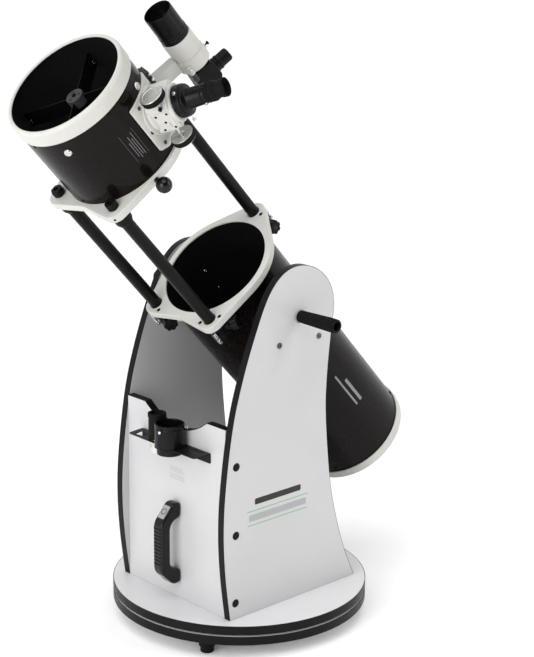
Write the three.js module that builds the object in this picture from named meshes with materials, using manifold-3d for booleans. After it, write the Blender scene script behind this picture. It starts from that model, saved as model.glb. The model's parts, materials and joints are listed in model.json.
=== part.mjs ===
// An eight-inch collapsible truss Newtonian telescope on a rocker-box base.
// Millimetres, +Z up. The front board faces -Y, the tube leans towards -Y, and the azimuth axis is vertical.
import * as THREE from "three";
import { mergeVertices } from "three/addons/utils/BufferGeometryUtils.js";
import Module from "manifold-3d";

const wasm = await Module();
wasm.setup();

// ---------------------------------------------------------------- driving dimensions
const GAP = 0.3; // between pieces that touch
const RUN = 0.4; // running clearance of pieces that turn or slide

// Ground board, feet and azimuth bearing
const BOARD = 18; // thickness of the two round boards
const BASE_R = 260;
const FOOT_H = 31.7;
const FOOT_CIRCLE = 225;
const FOOT_ANGLES = [-58.5, 61.5, 181.5];
const GROUND_Z = FOOT_H + GAP;
const BEARING_Z = GROUND_Z + BOARD + GAP;
const BEARING_H = 3.1;
const BASE_Z = BEARING_Z + BEARING_H + GAP;
const DECK_Z = BASE_Z + BOARD + GAP; // what stands on the round base board
const PIVOT_BOLT_R = 6;

// Rocker box
const SIDE_T = 16;
const SIDE_X = 146; // inner face of a side board
const BAND = 1.6; // black edge strip
const FRONT_Y = -172; // front face of the front board
const FRONT_T = 16;
const FRONT_TOP = 460;
const SCOOP_HALF = 92;
const SCOOP_DEPTH = 33;

// Altitude axis and tube
const PIVOT_Y = 4;
const PIVOT_Z = 654.6;
const ALTITUDE = 47.4; // elevation of the tube at rest, degrees
const TUBE_R = 117.5;
const TUBE_WALL = 1.5;
const TUBE_REAR = -465;
const LOWER_RING_Z = [95, 110];
const REAR_RING_Z = [-470, -448];
const DISC_R = 60; // altitude bearing disc
const DISC_X = [119, 143];
const ROLLER_R = 11.9;
const ROLLER_X = DISC_X[0] + 1.5; // clear of the saddle blocks' corners
const ROLLER_DY = 52.7;
const ROLLER_DROP = 49.3;

// Truss
const LOBES = [
  { name: "top", angle: 0, side: 1 },
  { name: "right", angle: 145, side: -1 },
  { name: "left", angle: -145, side: -1 },
];
const ROD_R = 12;
const ROD_CIRCLE = 137;
const RING_R = 124.5;
const LOBE_R = 25;
const LOBE_CIRCLE = 136;
const UPPER_RING_Z = [428, 443.5];
const UPPER_TUBE_Z = [431, 631];
const FRONT_RING_Z = [603, 634.5];

// Optics
const MIRROR_R = 101.5;
const SPIDER_ANGLES = [60, 150, 240, 330];
const SPIDER_Z = 578;
const HUB_Z = [582, 602];
const DIAGONAL_R = 25;

// Focuser and finder, placed by angle round the tube and distance along it
const FOCUSER_ANGLE = 60;
const FOCUSER_Z = 517;
const PLATE_R = 122;
const AXLE = { side: 31.6, out: 151.5 };
const FOCUS_KNOB_R = 23;
const FINDER_ANGLE = 18;
const FINDER_CIRCLE = 209;
const FINDER_R = 29.5;

// Accessory rack
const RACK_Z = 401.8;
const RACK_X = [-100, 106];
const CUP = { x: 18.5, y: -202, r: 29.5 };
const SPARE = { x: -30, y: -193, r: 18.5 };

const BOARD_SIDES = 56;
const ROUND = 48; // sides of the large, medium and small round pieces
const MEDIUM = 20;
const SMALL = 14;
const FINE = 8;

const FINISH = {
  melamine: { color: 0xe4e4e2, roughness: 0.45, metalness: 0 },
  edging: { color: 0x17181a, roughness: 0.55, metalness: 0 },
  gloss: { color: 0x0b0b0c, roughness: 0.18, metalness: 0.2 },
  powder: { color: 0xe2e1da, roughness: 0.5, metalness: 0 },
  plastic: { color: 0x141416, roughness: 0.5, metalness: 0 },
  rubber: { color: 0x101011, roughness: 0.85, metalness: 0 },
  rod: { color: 0x121214, roughness: 0.4, metalness: 0.3 },
  steel: { color: 0xb9bcc0, roughness: 0.25, metalness: 1 },
  nylon: { color: 0xe9e7df, roughness: 0.6, metalness: 0 },
  mirror: { color: 0xd9dde2, roughness: 0.03, metalness: 1 },
  casting: { color: 0x2b2c2f, roughness: 0.6, metalness: 0.4 },
  anodised: { color: 0x0f0f11, roughness: 0.35, metalness: 0.5 },
};

// ---------------------------------------------------------------- geometry helpers
const radians = THREE.MathUtils.degToRad;

// A closed manifold-3d solid from a three.js geometry.
function solidOf(geometry) {
  const bare = new THREE.BufferGeometry();
  bare.setAttribute("position", geometry.getAttribute("position"));
  if (geometry.index) bare.setIndex(geometry.index);
  const merged = mergeVertices(bare, 1e-3);
  const index = merged.index.array;
  const kept = [];
  for (let i = 0; i < index.length; i += 3) {
    const [a, b, c] = [index[i], index[i + 1], index[i + 2]];
    if (a !== b && b !== c && a !== c) kept.push(a, b, c);
  }
  return new wasm.Manifold(
    new wasm.Mesh({
      numProp: 3,
      vertProperties: merged.attributes.position.array,
      triVerts: new Uint32Array(kept),
    }),
  );
}

function geometryOf(solid) {
  const mesh = solid.getMesh();
  const geometry = new THREE.BufferGeometry();
  geometry.setAttribute("position", new THREE.BufferAttribute(mesh.vertProperties, 3));
  geometry.setIndex(new THREE.BufferAttribute(mesh.triVerts, 1));
  return geometry;
}

function join(...geometries) {
  return geometryOf(geometries.map(solidOf).reduce((a, b) => a.add(b)));
}

function cut(body, ...tools) {
  return geometryOf(tools.map(solidOf).reduce((a, b) => a.subtract(b), solidOf(body)));
}

function common(a, b) {
  return geometryOf(solidOf(a).intersect(solidOf(b)));
}

// A solid of revolution about Z from [radius, height] points, outer side upwards.
function revolve(profile, segments = MEDIUM) {
  const points = profile.map(([r, z]) => new THREE.Vector2(r, z));
  return new THREE.LatheGeometry(points, segments).rotateX(Math.PI / 2);
}

function rod(radius, z0, z1, segments = MEDIUM) {
  return revolve([[0, z0], [radius, z0], [radius, z1], [0, z1]], segments);
}

function ring(inner, outer, z0, z1, segments = ROUND) {
  return revolve([[inner, z0], [outer, z0], [outer, z1], [inner, z1], [inner, z0]], segments);
}

function box(x0, x1, y0, y1, z0, z1) {
  const block = new THREE.BoxGeometry(x1 - x0, y1 - y0, z1 - z0);
  return block.translate((x0 + x1) / 2, (y0 + y1) / 2, (z0 + z1) / 2);
}

function shapeOf(points, holes = []) {
  const shape = new THREE.Shape(points.map(([x, y]) => new THREE.Vector2(x, y)));
  for (const hole of holes) shape.holes.push(hole);
  return shape;
}

function circle(x, y, radius, segments) {
  return Array.from({ length: segments }, (_, i) => {
    const angle = (2 * Math.PI * i) / segments;
    return new THREE.Vector2(x + radius * Math.cos(angle), y - radius * Math.sin(angle));
  });
}

function roundHole(x, y, radius, segments = SMALL) {
  return new THREE.Path(circle(x, y, radius, segments));
}

function plate(shape, z0, z1, curveSegments = FINE) {
  const options = { depth: z1 - z0, bevelEnabled: false, curveSegments };
  return new THREE.ExtrudeGeometry(shape, options).translate(0, 0, z0);
}

// Turns a piece drawn in (x, y) and extruded along z so that the three run along the given axes.
function along(geometry, xAxis, yAxis, zAxis) {
  const basis = new THREE.Matrix4().makeBasis(
    new THREE.Vector3(...xAxis),
    new THREE.Vector3(...yAxis),
    new THREE.Vector3(...zAxis),
  );
  return geometry.applyMatrix4(basis);
}

const drawnInYZ = (geometry) => along(geometry, [0, 1, 0], [0, 0, 1], [1, 0, 0]);
const drawnInXZ = (geometry) => along(geometry, [1, 0, 0], [0, 0, 1], [0, -1, 0]);
const alongX = (geometry) => geometry.rotateY(Math.PI / 2);
const alongMinusX = (geometry) => geometry.rotateY(-Math.PI / 2);

// Moves each point of an open outline sideways by a distance, towards its right-hand side.
function inset(points, distance) {
  return points.map((point, i) => {
    const before = points[Math.max(i - 1, 0)];
    const after = points[Math.min(i + 1, points.length - 1)];
    const length = Math.hypot(after[0] - before[0], after[1] - before[1]);
    const right = [(after[1] - before[1]) / length, (before[0] - after[0]) / length];
    return [point[0] + distance * right[0], point[1] + distance * right[1]];
  });
}

const root = new THREE.Group();

function add(parent, name, geometry, finish) {
  const mesh = new THREE.Mesh(geometry, new THREE.MeshStandardMaterial(FINISH[finish]));
  mesh.name = name;
  parent.add(mesh);
  return mesh;
}

// ---------------------------------------------------------------- ground board
add(
  root,
  "ground_board",
  ring(PIVOT_BOLT_R + GAP, BASE_R, GROUND_Z, GROUND_Z + BOARD, BOARD_SIDES),
  "melamine",
);
FOOT_ANGLES.forEach((angle, i) => {
  const profile = [[0, 0], [12, 0], [13.5, 1.5], [13.5, 9], [17, 14], [17, FOOT_H], [0, FOOT_H]];
  const foot = add(root, `foot_${i + 1}`, revolve(profile, SMALL), "rubber");
  foot.position.x = FOOT_CIRCLE * Math.cos(radians(angle));
  foot.position.y = FOOT_CIRCLE * Math.sin(radians(angle));
});
add(
  root,
  "azimuth_bearing",
  ring(95, 125, BEARING_Z, BEARING_Z + BEARING_H, 36),
  "nylon",
);
add(
  root,
  "azimuth_pivot_bolt",
  join(
    rod(10, GROUND_Z - GAP - 6, GROUND_Z - GAP, 6),
    rod(PIVOT_BOLT_R, GROUND_Z - GAP - 3, DECK_Z + 12, SMALL),
    rod(15, DECK_Z, DECK_Z + 2, SMALL),
    rod(10, DECK_Z + 1, DECK_Z + 10, 6),
  ),
  "steel",
);

// ---------------------------------------------------------------- rocker box
const rocker = new THREE.Group();
root.add(rocker);
add(rocker, "base_board", ring(PIVOT_BOLT_R + RUN, BASE_R, BASE_Z, BASE_Z + BOARD, BOARD_SIDES), "melamine");

// Side-board outline as [y, height above the deck]: front foot, bulging front, round head, waist, rear foot.
const OUTLINE = [
  [-172, 0], [-185, 95], [-190, 185], [-185, 275], [-168, 392], [-144, 480], [-110, 570], [-77, 637],
  [-40, 673], [4, 683], [50, 669], [84, 637], [98, 593], [91, 535], [82, 440], [82, 360],
  [97, 226], [118, 136], [142, 66], [172, 0],
];
const outline = new THREE.SplineCurve(OUTLINE.map(([y, z]) => new THREE.Vector2(y, z + DECK_Z)));
const edge = outline.getPoints(OUTLINE.length * 2).map((point) => [point.x, point.y]);
const bandInner = inset(edge, BAND);
const boardEdge = inset(edge, BAND + GAP);
// The offset ends are cut square on the deck.
for (const line of [bandInner, boardEdge]) {
  line[0][1] = DECK_Z;
  line[line.length - 1][1] = DECK_Z;
}
const altitudeHole = roundHole(PIVOT_Y, PIVOT_Z, 8, SMALL);
const rollerHoles = [-1, 1].map((sign) =>
  roundHole(PIVOT_Y + sign * ROLLER_DY, PIVOT_Z - ROLLER_DROP, 3.4, FINE),
);
for (const [name, x0] of [["right", SIDE_X], ["left", -SIDE_X - SIDE_T]]) {
  const board = shapeOf([...boardEdge].reverse(), [altitudeHole, ...rollerHoles]);
  const band = shapeOf([...bandInner, ...[...edge].reverse()]);
  add(rocker, `side_board_${name}`, drawnInYZ(plate(board, x0, x0 + SIDE_T)), "melamine");
  add(rocker, `side_band_${name}`, drawnInYZ(plate(band, x0, x0 + SIDE_T)), "edging");
}

// Front board with the scoop that clears the lowered tube.
const scoopRadius = (SCOOP_HALF ** 2 + SCOOP_DEPTH ** 2) / (2 * SCOOP_DEPTH);
const scoopSpan = Math.asin(SCOOP_HALF / scoopRadius);
const frontShape = shapeOf([
  [-SIDE_X + GAP, DECK_Z],
  [SIDE_X - GAP, DECK_Z],
  [SIDE_X - GAP, FRONT_TOP],
]);
frontShape.lineTo(SCOOP_HALF, FRONT_TOP);
frontShape.absarc(
  0,
  FRONT_TOP - SCOOP_DEPTH + scoopRadius,
  scoopRadius,
  -Math.PI / 2 + scoopSpan,
  -Math.PI / 2 - scoopSpan,
  true,
);
frontShape.lineTo(-SIDE_X + GAP, FRONT_TOP);
add(
  rocker,
  "front_board",
  drawnInXZ(plate(frontShape, -FRONT_Y - FRONT_T, -FRONT_Y, 20)),
  "melamine",
);

// Carry handle: a C-shaped grip on two sloping feet, drawn as [distance from the board, height].
const HANDLE_X = 4;
const HANDLE_W = 26;
const grip = shapeOf([
  [GAP, 108], [18, 106], [47, 134], [51, 144], [51, 235], [47, 245],
  [18, 278], [GAP, 276], [GAP, 247], [20, 240], [27, 228], [27, 151], [20, 142], [GAP, 135],
]);
const gripBevel = { depth: HANDLE_W - 8, bevelEnabled: true, bevelSize: 4, bevelThickness: 4, bevelOffset: -4 };
const gripSolid = new THREE.ExtrudeGeometry(grip, { ...gripBevel, bevelSegments: 2 });
along(gripSolid, [0, -1, 0], [0, 0, 1], [-1, 0, 0]);
gripSolid.translate(HANDLE_X + HANDLE_W / 2 - 4, FRONT_Y, 0);
const recess = (z) => rod(5, 14, 60, FINE).rotateX(Math.PI / 2).translate(HANDLE_X, FRONT_Y, z);
add(rocker, "carry_handle", cut(gripSolid, recess(262), recess(120)), "plastic");

// Accessory rack: a folded sheet with a flange on the front board and a shelf with open holes.
const shelf = shapeOf([
  [RACK_X[0], FRONT_Y - GAP],
  [RACK_X[0] + 5, -213],
  [CUP.x - 28, -214],
  [CUP.x - 21.5, -223],
  [CUP.x - 11.5, -230.6],
  [CUP.x + 11.5, -230.6],
  [CUP.x + 21.5, -223],
  [CUP.x + 28, -216],
  [RACK_X[1] + 3, -216],
  [RACK_X[1], FRONT_Y - GAP],
]);
shelf.holes.push(roundHole(CUP.x, CUP.y, 25.9, MEDIUM), roundHole(SPARE.x, SPARE.y, 16.5));
shelf.holes.push(new THREE.Path([[-85, -184], [-80, -207], [-58, -204]].map(([x, y]) => new THREE.Vector2(x, y))));
add(
  rocker,
  "eyepiece_rack",
  join(
    plate(shelf, RACK_Z - 1.6, RACK_Z),
    box(...RACK_X, FRONT_Y - GAP - 1.6, FRONT_Y - GAP, RACK_Z - 21, RACK_Z - 0.5),
  ),
  "edging",
);

// Nylon cylinders that carry the altitude discs, each on its bolt through the side board.
for (const [name, turn] of [["right", alongX], ["left", alongMinusX]]) {
  for (const [place, sign] of [["front", -1], ["rear", 1]]) {
    const roller = turn(
      revolve([
        [0, ROLLER_X],
        [ROLLER_R, ROLLER_X],
        [ROLLER_R, SIDE_X - GAP],
        [3, SIDE_X - GAP],
        [3, SIDE_X + SIDE_T + GAP],
        [5.5, SIDE_X + SIDE_T + GAP],
        [4.5, SIDE_X + SIDE_T + 2.4],
        [0, SIDE_X + SIDE_T + 2.4],
      ], SMALL),
    );
    roller.translate(0, PIVOT_Y + sign * ROLLER_DY, PIVOT_Z - ROLLER_DROP);
    add(rocker, `altitude_roller_${name}_${place}`, roller, "nylon");
  }
}

// Spare eyepiece and extension tube, which lift out of the rack.
add(
  rocker,
  "extension_tube",
  revolve([
    [25.3, RACK_Z - 15], [25.3, RACK_Z + GAP], [CUP.r, RACK_Z + GAP], [CUP.r, RACK_Z + 46],
    [25.5, RACK_Z + 46.6], [24, RACK_Z + 46.6], [24, RACK_Z - 15], [25.3, RACK_Z - 15],
  ]),
  "anodised",
).position.set(CUP.x, CUP.y, 0);
add(
  rocker,
  "spare_eyepiece",
  revolve([
    [0, RACK_Z - 26], [15.9, RACK_Z - 26], [15.9, RACK_Z + GAP], [17.2, RACK_Z + GAP],
    [17.2, RACK_Z + 44], [SPARE.r, RACK_Z + 46], [SPARE.r, RACK_Z + 53], [14, RACK_Z + 54],
    [13, RACK_Z + 47], [0, RACK_Z + 47],
  ], 20),
  "plastic",
).position.set(SPARE.x, SPARE.y, 0);

// ---------------------------------------------------------------- lower tube, drawn along its own axis
const tube = new THREE.Group();
tube.position.set(0, PIVOT_Y, PIVOT_Z);
tube.rotation.x = radians(90 - ALTITUDE);
root.add(tube);

// A group turned so that its y axis points outwards at an angle round the tube, measured from the top.
function atAngle(angle) {
  const group = new THREE.Group();
  group.rotation.z = -radians(angle);
  tube.add(group);
  return group;
}

add(
  tube,
  "lower_tube",
  ring(TUBE_R - TUBE_WALL, TUBE_R, TUBE_REAR, LOWER_RING_Z[1] - 3 - GAP),
  "gloss",
);

// Three-lobed ring outline: a circle with a rounded ear over each rod.
function lobedOutline() {
  const contact = Math.acos((RING_R - LOBE_R) / LOBE_CIRCLE);
  const tangent = Math.atan2(LOBE_R * Math.sin(contact), LOBE_CIRCLE + LOBE_R * Math.cos(contact));
  const reach = (offset) => {
    const turn = Math.abs(offset);
    if (turn > contact) return RING_R;
    if (turn > tangent) return RING_R / Math.cos(contact - turn);
    const across = LOBE_CIRCLE * Math.sin(turn);
    return LOBE_CIRCLE * Math.cos(turn) + Math.sqrt(LOBE_R ** 2 - across ** 2);
  };
  const points = [];
  for (let step = 0; step < 72; step += 1) {
    const angle = radians(5 * step);
    const radius = Math.max(
      ...LOBES.map((lobe) => {
        const offset = angle - radians(lobe.angle);
        return reach(Math.atan2(Math.sin(offset), Math.cos(offset)));
      }),
    );
    points.push([radius * Math.sin(angle), radius * Math.cos(angle)]);
  }
  return points.reverse();
}

const rodHoles = (radius) =>
  LOBES.map((lobe) => {
    const angle = radians(lobe.angle);
    return roundHole(ROD_CIRCLE * Math.sin(angle), ROD_CIRCLE * Math.cos(angle), radius, SMALL);
  });

function lobedRing(z0, z1, lipInner, lipAtTop) {
  const bore = roundHole(0, 0, TUBE_R + GAP, ROUND);
  const lip = roundHole(0, 0, lipInner, ROUND);
  const lipZ = lipAtTop ? [z1 - 3, z1] : [z0, z0 + 3 - GAP];
  const wallZ = lipAtTop ? [z0, z1 - 2] : [z0 + 2, z1];
  const rodBores = rodHoles(lipAtTop ? ROD_R + RUN : 4.4);
  return join(
    plate(shapeOf(lobedOutline(), [bore, ...rodBores]), ...wallZ),
    plate(shapeOf(lobedOutline(), [lip, ...rodBores]), ...lipZ),
  );
}

add(tube, "lower_ring", lobedRing(...LOWER_RING_Z, 111.3, true), "powder");
add(
  tube,
  "rear_ring",
  revolve([
    [105, REAR_RING_Z[0]], [118, REAR_RING_Z[0]], [121, REAR_RING_Z[0] + 3], [120.6, REAR_RING_Z[1]],
    [TUBE_R + GAP, REAR_RING_Z[1]], [TUBE_R + GAP, TUBE_REAR - GAP], [105, TUBE_REAR - GAP],
    [105, REAR_RING_Z[0]],
  ], ROUND),
  "powder",
);

// Primary cell: a hub and three arms inside a rim, with three pads that carry the mirror.
const CELL_Z = [-464.7, -453];
const COLLIMATION_CIRCLE = 72;
const cellParts = [
  ring(104, TUBE_R - TUBE_WALL - 2 * GAP, ...CELL_Z, 36),
  ring(8, 26, ...CELL_Z, SMALL),
];
for (const angle of [0, 120, 240]) {
  cellParts.push(box(-13, 13, 20, 108, ...CELL_Z).rotateZ(radians(angle)));
  cellParts.push(rod(9, CELL_Z[0] + 4, -432, FINE).translate(0, 48, 0).rotateZ(radians(angle)));
}
const collimationBores = [0, 120, 240].map((angle) =>
  rod(3.4, CELL_Z[0] - 1, CELL_Z[1] + 1, FINE).translate(0, COLLIMATION_CIRCLE, 0).rotateZ(radians(angle)),
);
add(tube, "primary_cell", cut(join(...cellParts), ...collimationBores), "casting");
add(tube, "primary_mirror", rod(MIRROR_R, -432 + GAP, -408, 40), "mirror");
[0, 120, 240].forEach((angle, i) => {
  const knob = revolve([
    [0, -480], [9, -480], [10.5, -478], [10.5, -466], [3, -465.2], [3, -450], [0, -450],
  ], 12);
  add(atAngle(angle), `collimation_knob_${i + 1}`, knob, "steel").position.y = COLLIMATION_CIRCLE;
});

// Altitude bearings: a disc on a block that is curved to fit the tube.
for (const [name, turn, sign] of [["right", alongX, 1], ["left", alongMinusX, -1]]) {
  const disc = turn(rod(DISC_R, ...DISC_X, 40));
  const block = box(sign * 96, sign * 120, -44, 44, -44, 44);
  const bore = turn(rod(6.6, DISC_X[0] + 3, DISC_X[1] + 1, SMALL));
  const shell = rod(TUBE_R + GAP, -70, 70, ROUND);
  const blockSolid = sign > 0 ? block : box(-120, -96, -44, 44, -44, 44);
  add(tube, `altitude_bearing_${name}`, cut(join(disc, blockSolid), shell, bore), "plastic");
  const handle = turn(
    revolve([
      [0, DISC_X[0] + 6], [6, DISC_X[0] + 6], [6, SIDE_X + SIDE_T + GAP + 0.2],
      [14, SIDE_X + SIDE_T + GAP + 0.2], [14, SIDE_X + SIDE_T + 6], [12.4, SIDE_X + SIDE_T + 7],
      [13, 200], [14.4, 246], [13.4, 256], [9, 262], [0, 263],
    ], SMALL),
  );
  add(tube, `tension_handle_${name}`, handle, "rubber");
}

// ---------------------------------------------------------------- rods, clamps and knobs, three of each
const CLAMP_Z = [62, LOWER_RING_Z[0] - GAP];
const KNOB_OUT = 133;
const KNOB_Z = 78;

// A knob with shallow flutes, from its face at z0 to its back at z1, on a stem.
function flutedKnob(radius, flutes, z0, z1, stemR, stemEnd) {
  const points = [];
  for (let step = 0; step < flutes * 4; step += 1) {
    const angle = (2 * Math.PI * step) / (flutes * 4);
    const reach = radius * (step % 4 === 0 ? 0.86 : 1);
    points.push([reach * Math.cos(angle), reach * Math.sin(angle)]);
  }
  return join(plate(shapeOf(points), z0, z1), rod(stemR, Math.min(z0 + 1, stemEnd), Math.max(z1 - 1, stemEnd), FINE));
}

for (const lobe of LOBES) {
  const group = atAngle(lobe.angle);
  const bore = rod(ROD_R + RUN, CLAMP_Z[0] - 1, CLAMP_Z[1] + 1, MEDIUM).translate(0, ROD_CIRCLE, 0);
  const stemBore = rod(4.5, 18, 32, FINE).rotateY((lobe.side * Math.PI) / 2);
  const boss = rod(10, 12, 27, 12).rotateY((lobe.side * Math.PI) / 2);
  const clamp = cut(
    join(
      rod(18.8, ...CLAMP_Z, MEDIUM).translate(0, ROD_CIRCLE, 0),
      rod(4.2, ...CLAMP_Z, 8).translate(0, ROD_CIRCLE + 22, 0),
      boss.translate(0, KNOB_OUT, KNOB_Z),
    ),
    bore,
    stemBore.translate(0, KNOB_OUT, KNOB_Z),
  );
  add(group, `rod_clamp_${lobe.name}`, clamp, "plastic");

  const knob = flutedKnob(14.5, 7, 28.5, 45, 4, 20).rotateY((lobe.side * Math.PI) / 2);
  add(group, `clamp_knob_${lobe.name}`, knob, "plastic").position.set(0, KNOB_OUT, KNOB_Z);

  const trussRod = revolve([
    [0, 48], [ROD_R - 1, 48], [ROD_R, 49], [ROD_R, 403], [17, 411], [17, UPPER_RING_Z[0] - GAP],
    [4.4, UPPER_RING_Z[0] - GAP], [4.4, 410], [0, 410],
  ], 20);
  add(group, `truss_rod_${lobe.name}`, trussRod, "rod").position.y = ROD_CIRCLE;

  const faceZ = UPPER_RING_Z[1] + GAP;
  const screw = join(
    rod(12.5, faceZ, faceZ + 15, 6),
    rod(4, 413, faceZ + 2, FINE),
  );
  add(group, `rod_screw_${lobe.name}`, screw, "plastic").position.y = ROD_CIRCLE;
}

// ---------------------------------------------------------------- upper tube
add(tube, "upper_ring", lobedRing(...UPPER_RING_Z, 113, false), "powder");
const nutBores = SPIDER_ANGLES.map((angle) =>
  rod(3.5, 110, 125, 8).rotateX(-Math.PI / 2).rotateZ(-radians(angle)).translate(0, 0, SPIDER_Z),
);
const focuserWindow = rod(29.5, 100, 130, MEDIUM)
  .rotateX(-Math.PI / 2)
  .rotateZ(-radians(FOCUSER_ANGLE))
  .translate(0, 0, FOCUSER_Z);
add(
  tube,
  "upper_tube",
  cut(ring(TUBE_R - TUBE_WALL, TUBE_R, ...UPPER_TUBE_Z), ...nutBores, focuserWindow),
  "gloss",
);
add(
  tube,
  "front_ring",
  revolve([
    [TUBE_R + GAP, FRONT_RING_Z[0]], [119.8, FRONT_RING_Z[0]], [119.8, 629], [117, FRONT_RING_Z[1]],
    [112.5, FRONT_RING_Z[1]], [111.2, 631.6], [TUBE_R + GAP, 631.6],
    [TUBE_R + GAP, FRONT_RING_Z[0]],
  ], ROUND),
  "powder",
);
const ballKnob = revolve([
  [0, 0], [5.5, 0], [5.5, 13], [13, 19], [15, 26], [13, 33], [0, 41],
], SMALL);
ballKnob.rotateX(-Math.PI / 2);
ballKnob.translate(0, RING_R + 0.9, (UPPER_RING_Z[0] + UPPER_RING_Z[1]) / 2);
add(atAngle(105), "guide_knob", ballKnob, "plastic");

// Spider: a hub, four thin vanes, and a stud and nut at the end of each vane.
const spiderParts = [ring(4, 17, ...HUB_Z, SMALL)];
for (const angle of SPIDER_ANGLES) {
  const arm = join(
    box(-0.7, 0.7, 14, TUBE_R - TUBE_WALL - 0.6, SPIDER_Z - 12, HUB_Z[1] - 4),
    rod(3, 108, TUBE_R + 3, 6).rotateX(-Math.PI / 2).translate(0, 0, SPIDER_Z),
    rod(7.5, TUBE_R + 0.6, TUBE_R + 4.4, FINE).rotateX(-Math.PI / 2).translate(0, 0, SPIDER_Z),
  );
  spiderParts.push(arm.rotateZ(-radians(angle)));
}
add(tube, "spider", join(...spiderParts), "anodised");

// Diagonal mirror and the holder behind it, cut at 45 degrees to face the focuser.
const tilted = (block) =>
  block.rotateX(radians(45)).rotateZ(-radians(FOCUSER_ANGLE)).translate(0, 0, FOCUSER_Z);
const slab = tilted(box(-30, 30, -40, 40, 0, 9));
add(
  tube,
  "secondary_mirror",
  common(rod(DIAGONAL_R, FOCUSER_Z - 50, FOCUSER_Z + 50, MEDIUM), slab),
  "mirror",
);
const below = tilted(box(-80, 80, -120, 120, -90, 9 + GAP));
add(
  tube,
  "secondary_holder",
  join(
    cut(rod(DIAGONAL_R - 1, FOCUSER_Z - 30, FOCUSER_Z + 42, MEDIUM), below),
    rod(11, FOCUSER_Z + 40, HUB_Z[0] - GAP, SMALL),
    rod(3.5, FOCUSER_Z + 60, HUB_Z[1] + 4, FINE),
  ),
  "anodised",
);

// ---------------------------------------------------------------- focuser
// Drawn with x along the tube towards the sky, y round the tube and z outwards.
function mountedAt(angle, z) {
  const group = new THREE.Group();
  const turn = radians(angle);
  group.matrixAutoUpdate = false;
  group.matrix.makeBasis(
    new THREE.Vector3(0, 0, 1),
    new THREE.Vector3(Math.cos(turn), -Math.sin(turn), 0),
    new THREE.Vector3(Math.sin(turn), Math.cos(turn), 0),
  );
  group.matrix.setPosition(0, 0, z);
  tube.add(group);
  return group;
}

const focuser = mountedAt(FOCUSER_ANGLE, FOCUSER_Z);
const shell = alongX(rod(TUBE_R + GAP, -90, 90, ROUND));
const saddle = common(
  alongX(rod(PLATE_R, -62, 52, ROUND)),
  plate(shapeOf([[-62, -28], [-51, -50], [52, -50], [52, 54], [-51, 54], [-62, 32]]), 60, 130),
);
const housing = plate(
  shapeOf([[-34, -30], [-24, -36], [24, -36], [34, -30], [34, 26], [28, 34], [-28, 34], [-34, 26]]),
  110,
  166,
);
const collar = ring(28, 34, 160, 168, MEDIUM);
const drawBore = rod(28 + RUN, 90, 180, MEDIUM);
const axleBore = alongX(rod(3.6, -60, 60, FINE)).translate(0, AXLE.side, AXLE.out);
add(
  focuser,
  "focuser_body",
  cut(join(saddle, housing, collar), shell, drawBore, axleBore),
  "powder",
);
add(
  focuser,
  "focuser_drawtube",
  revolve([
    [25.6, 108], [28, 108], [28, 168 + RUN], [30, 168 + RUN], [30, 183], [25.6, 183], [25.6, 108],
  ]),
  "anodised",
);
const wheel = (x0, x1) => alongX(rod(FOCUS_KNOB_R, x0, x1, 24));
add(
  focuser,
  "focus_knobs",
  join(wheel(45, 58), wheel(-58, -45), alongX(rod(3, -50, 50, FINE))),
  "steel",
).position.set(0, AXLE.side, AXLE.out);
add(
  focuser,
  "eyepiece_adapter",
  revolve([
    [16.2, 150], [25.2, 150], [25.2, 183 + GAP], [28.5, 183 + GAP], [28.5, 187], [18, 190],
    [18, 227], [16.2, 227], [16.2, 150],
  ]),
  "anodised",
);
add(
  focuser,
  "eyepiece",
  revolve([
    [0, 200], [15.8, 200], [15.8, 227 + GAP], [18.6, 227 + GAP], [19.2, 242], [17, 246], [14.5, 251],
    [16.4, 256], [16.4, 265], [13, 267], [10, 262], [0, 262],
  ], 20),
  "rubber",
);

// ---------------------------------------------------------------- finder
const finder = mountedAt(FINDER_ANGLE, 0);
const FOOT_X = [486, 546];
const shoe = common(
  plate(shapeOf([[FOOT_X[0], -15], [FOOT_X[1], -15], [FOOT_X[1], 15], [FOOT_X[0], 15]]), 100, 130),
  alongX(rod(129, 490, 570, ROUND)),
);
const stalk = plate(
  shapeOf([[491, -12], [521, -12], [521, 12], [491, 12]]),
  122,
  FINDER_CIRCLE - FINDER_R - 1.5,
);
const holderRing = alongX(ring(FINDER_R + 0.6, FINDER_R + 2.7, 484, 512, MEDIUM)).translate(0, 0, FINDER_CIRCLE);
const finderShell = alongX(rod(TUBE_R + GAP, 480, 580, ROUND));
add(finder, "finder_bracket", cut(join(shoe, stalk, holderRing), finderShell), "powder");
const optic = (profile, segments = MEDIUM) => alongX(revolve(profile, segments)).translate(0, 0, FINDER_CIRCLE);
add(
  finder,
  "finder_tube",
  optic([
    [0, 477], [17, 477], [20, 484], [FINDER_R, 497], [FINDER_R, 552], [24, 552], [24, 544], [0, 544],
  ]),
  "powder",
);
add(
  finder,
  "finder_dew_shield",
  optic([
    [24.6, 552 + GAP], [FINDER_R - 1.1, 552 + GAP], [FINDER_R - 1.1, 613.5], [26, 614.5], [24.6, 614.5],
    [24.6, 552 + GAP],
  ]),
  "anodised",
);
const prismBlock = shapeOf([[477 - GAP, -22], [477 - GAP, 20], [463, 25], [437, 25], [417, 8], [417, -6], [431, -24]]);
const prismBody = along(plate(prismBlock, -21, 21), [1, 0, 0], [0, 0, 1], [0, -1, 0]);
add(
  finder,
  "finder_prism",
  join(
    prismBody.translate(0, 0, FINDER_CIRCLE),
    revolve([[0, 15], [14.5, 15], [14.5, 36], [13.2, 38], [13.2, 58], [11, 60], [0, 60]], SMALL).translate(
      449.5,
      0,
      FINDER_CIRCLE,
    ),
  ),
  "plastic",
);

// ---------------------------------------------------------------- the origin sits under the middle of the whole
root.updateMatrixWorld(true);
const bounds = new THREE.Box3().setFromObject(root, true);
const middle = bounds.getCenter(new THREE.Vector3());
root.position.set(-middle.x, -middle.y, -bounds.min.z);

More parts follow.
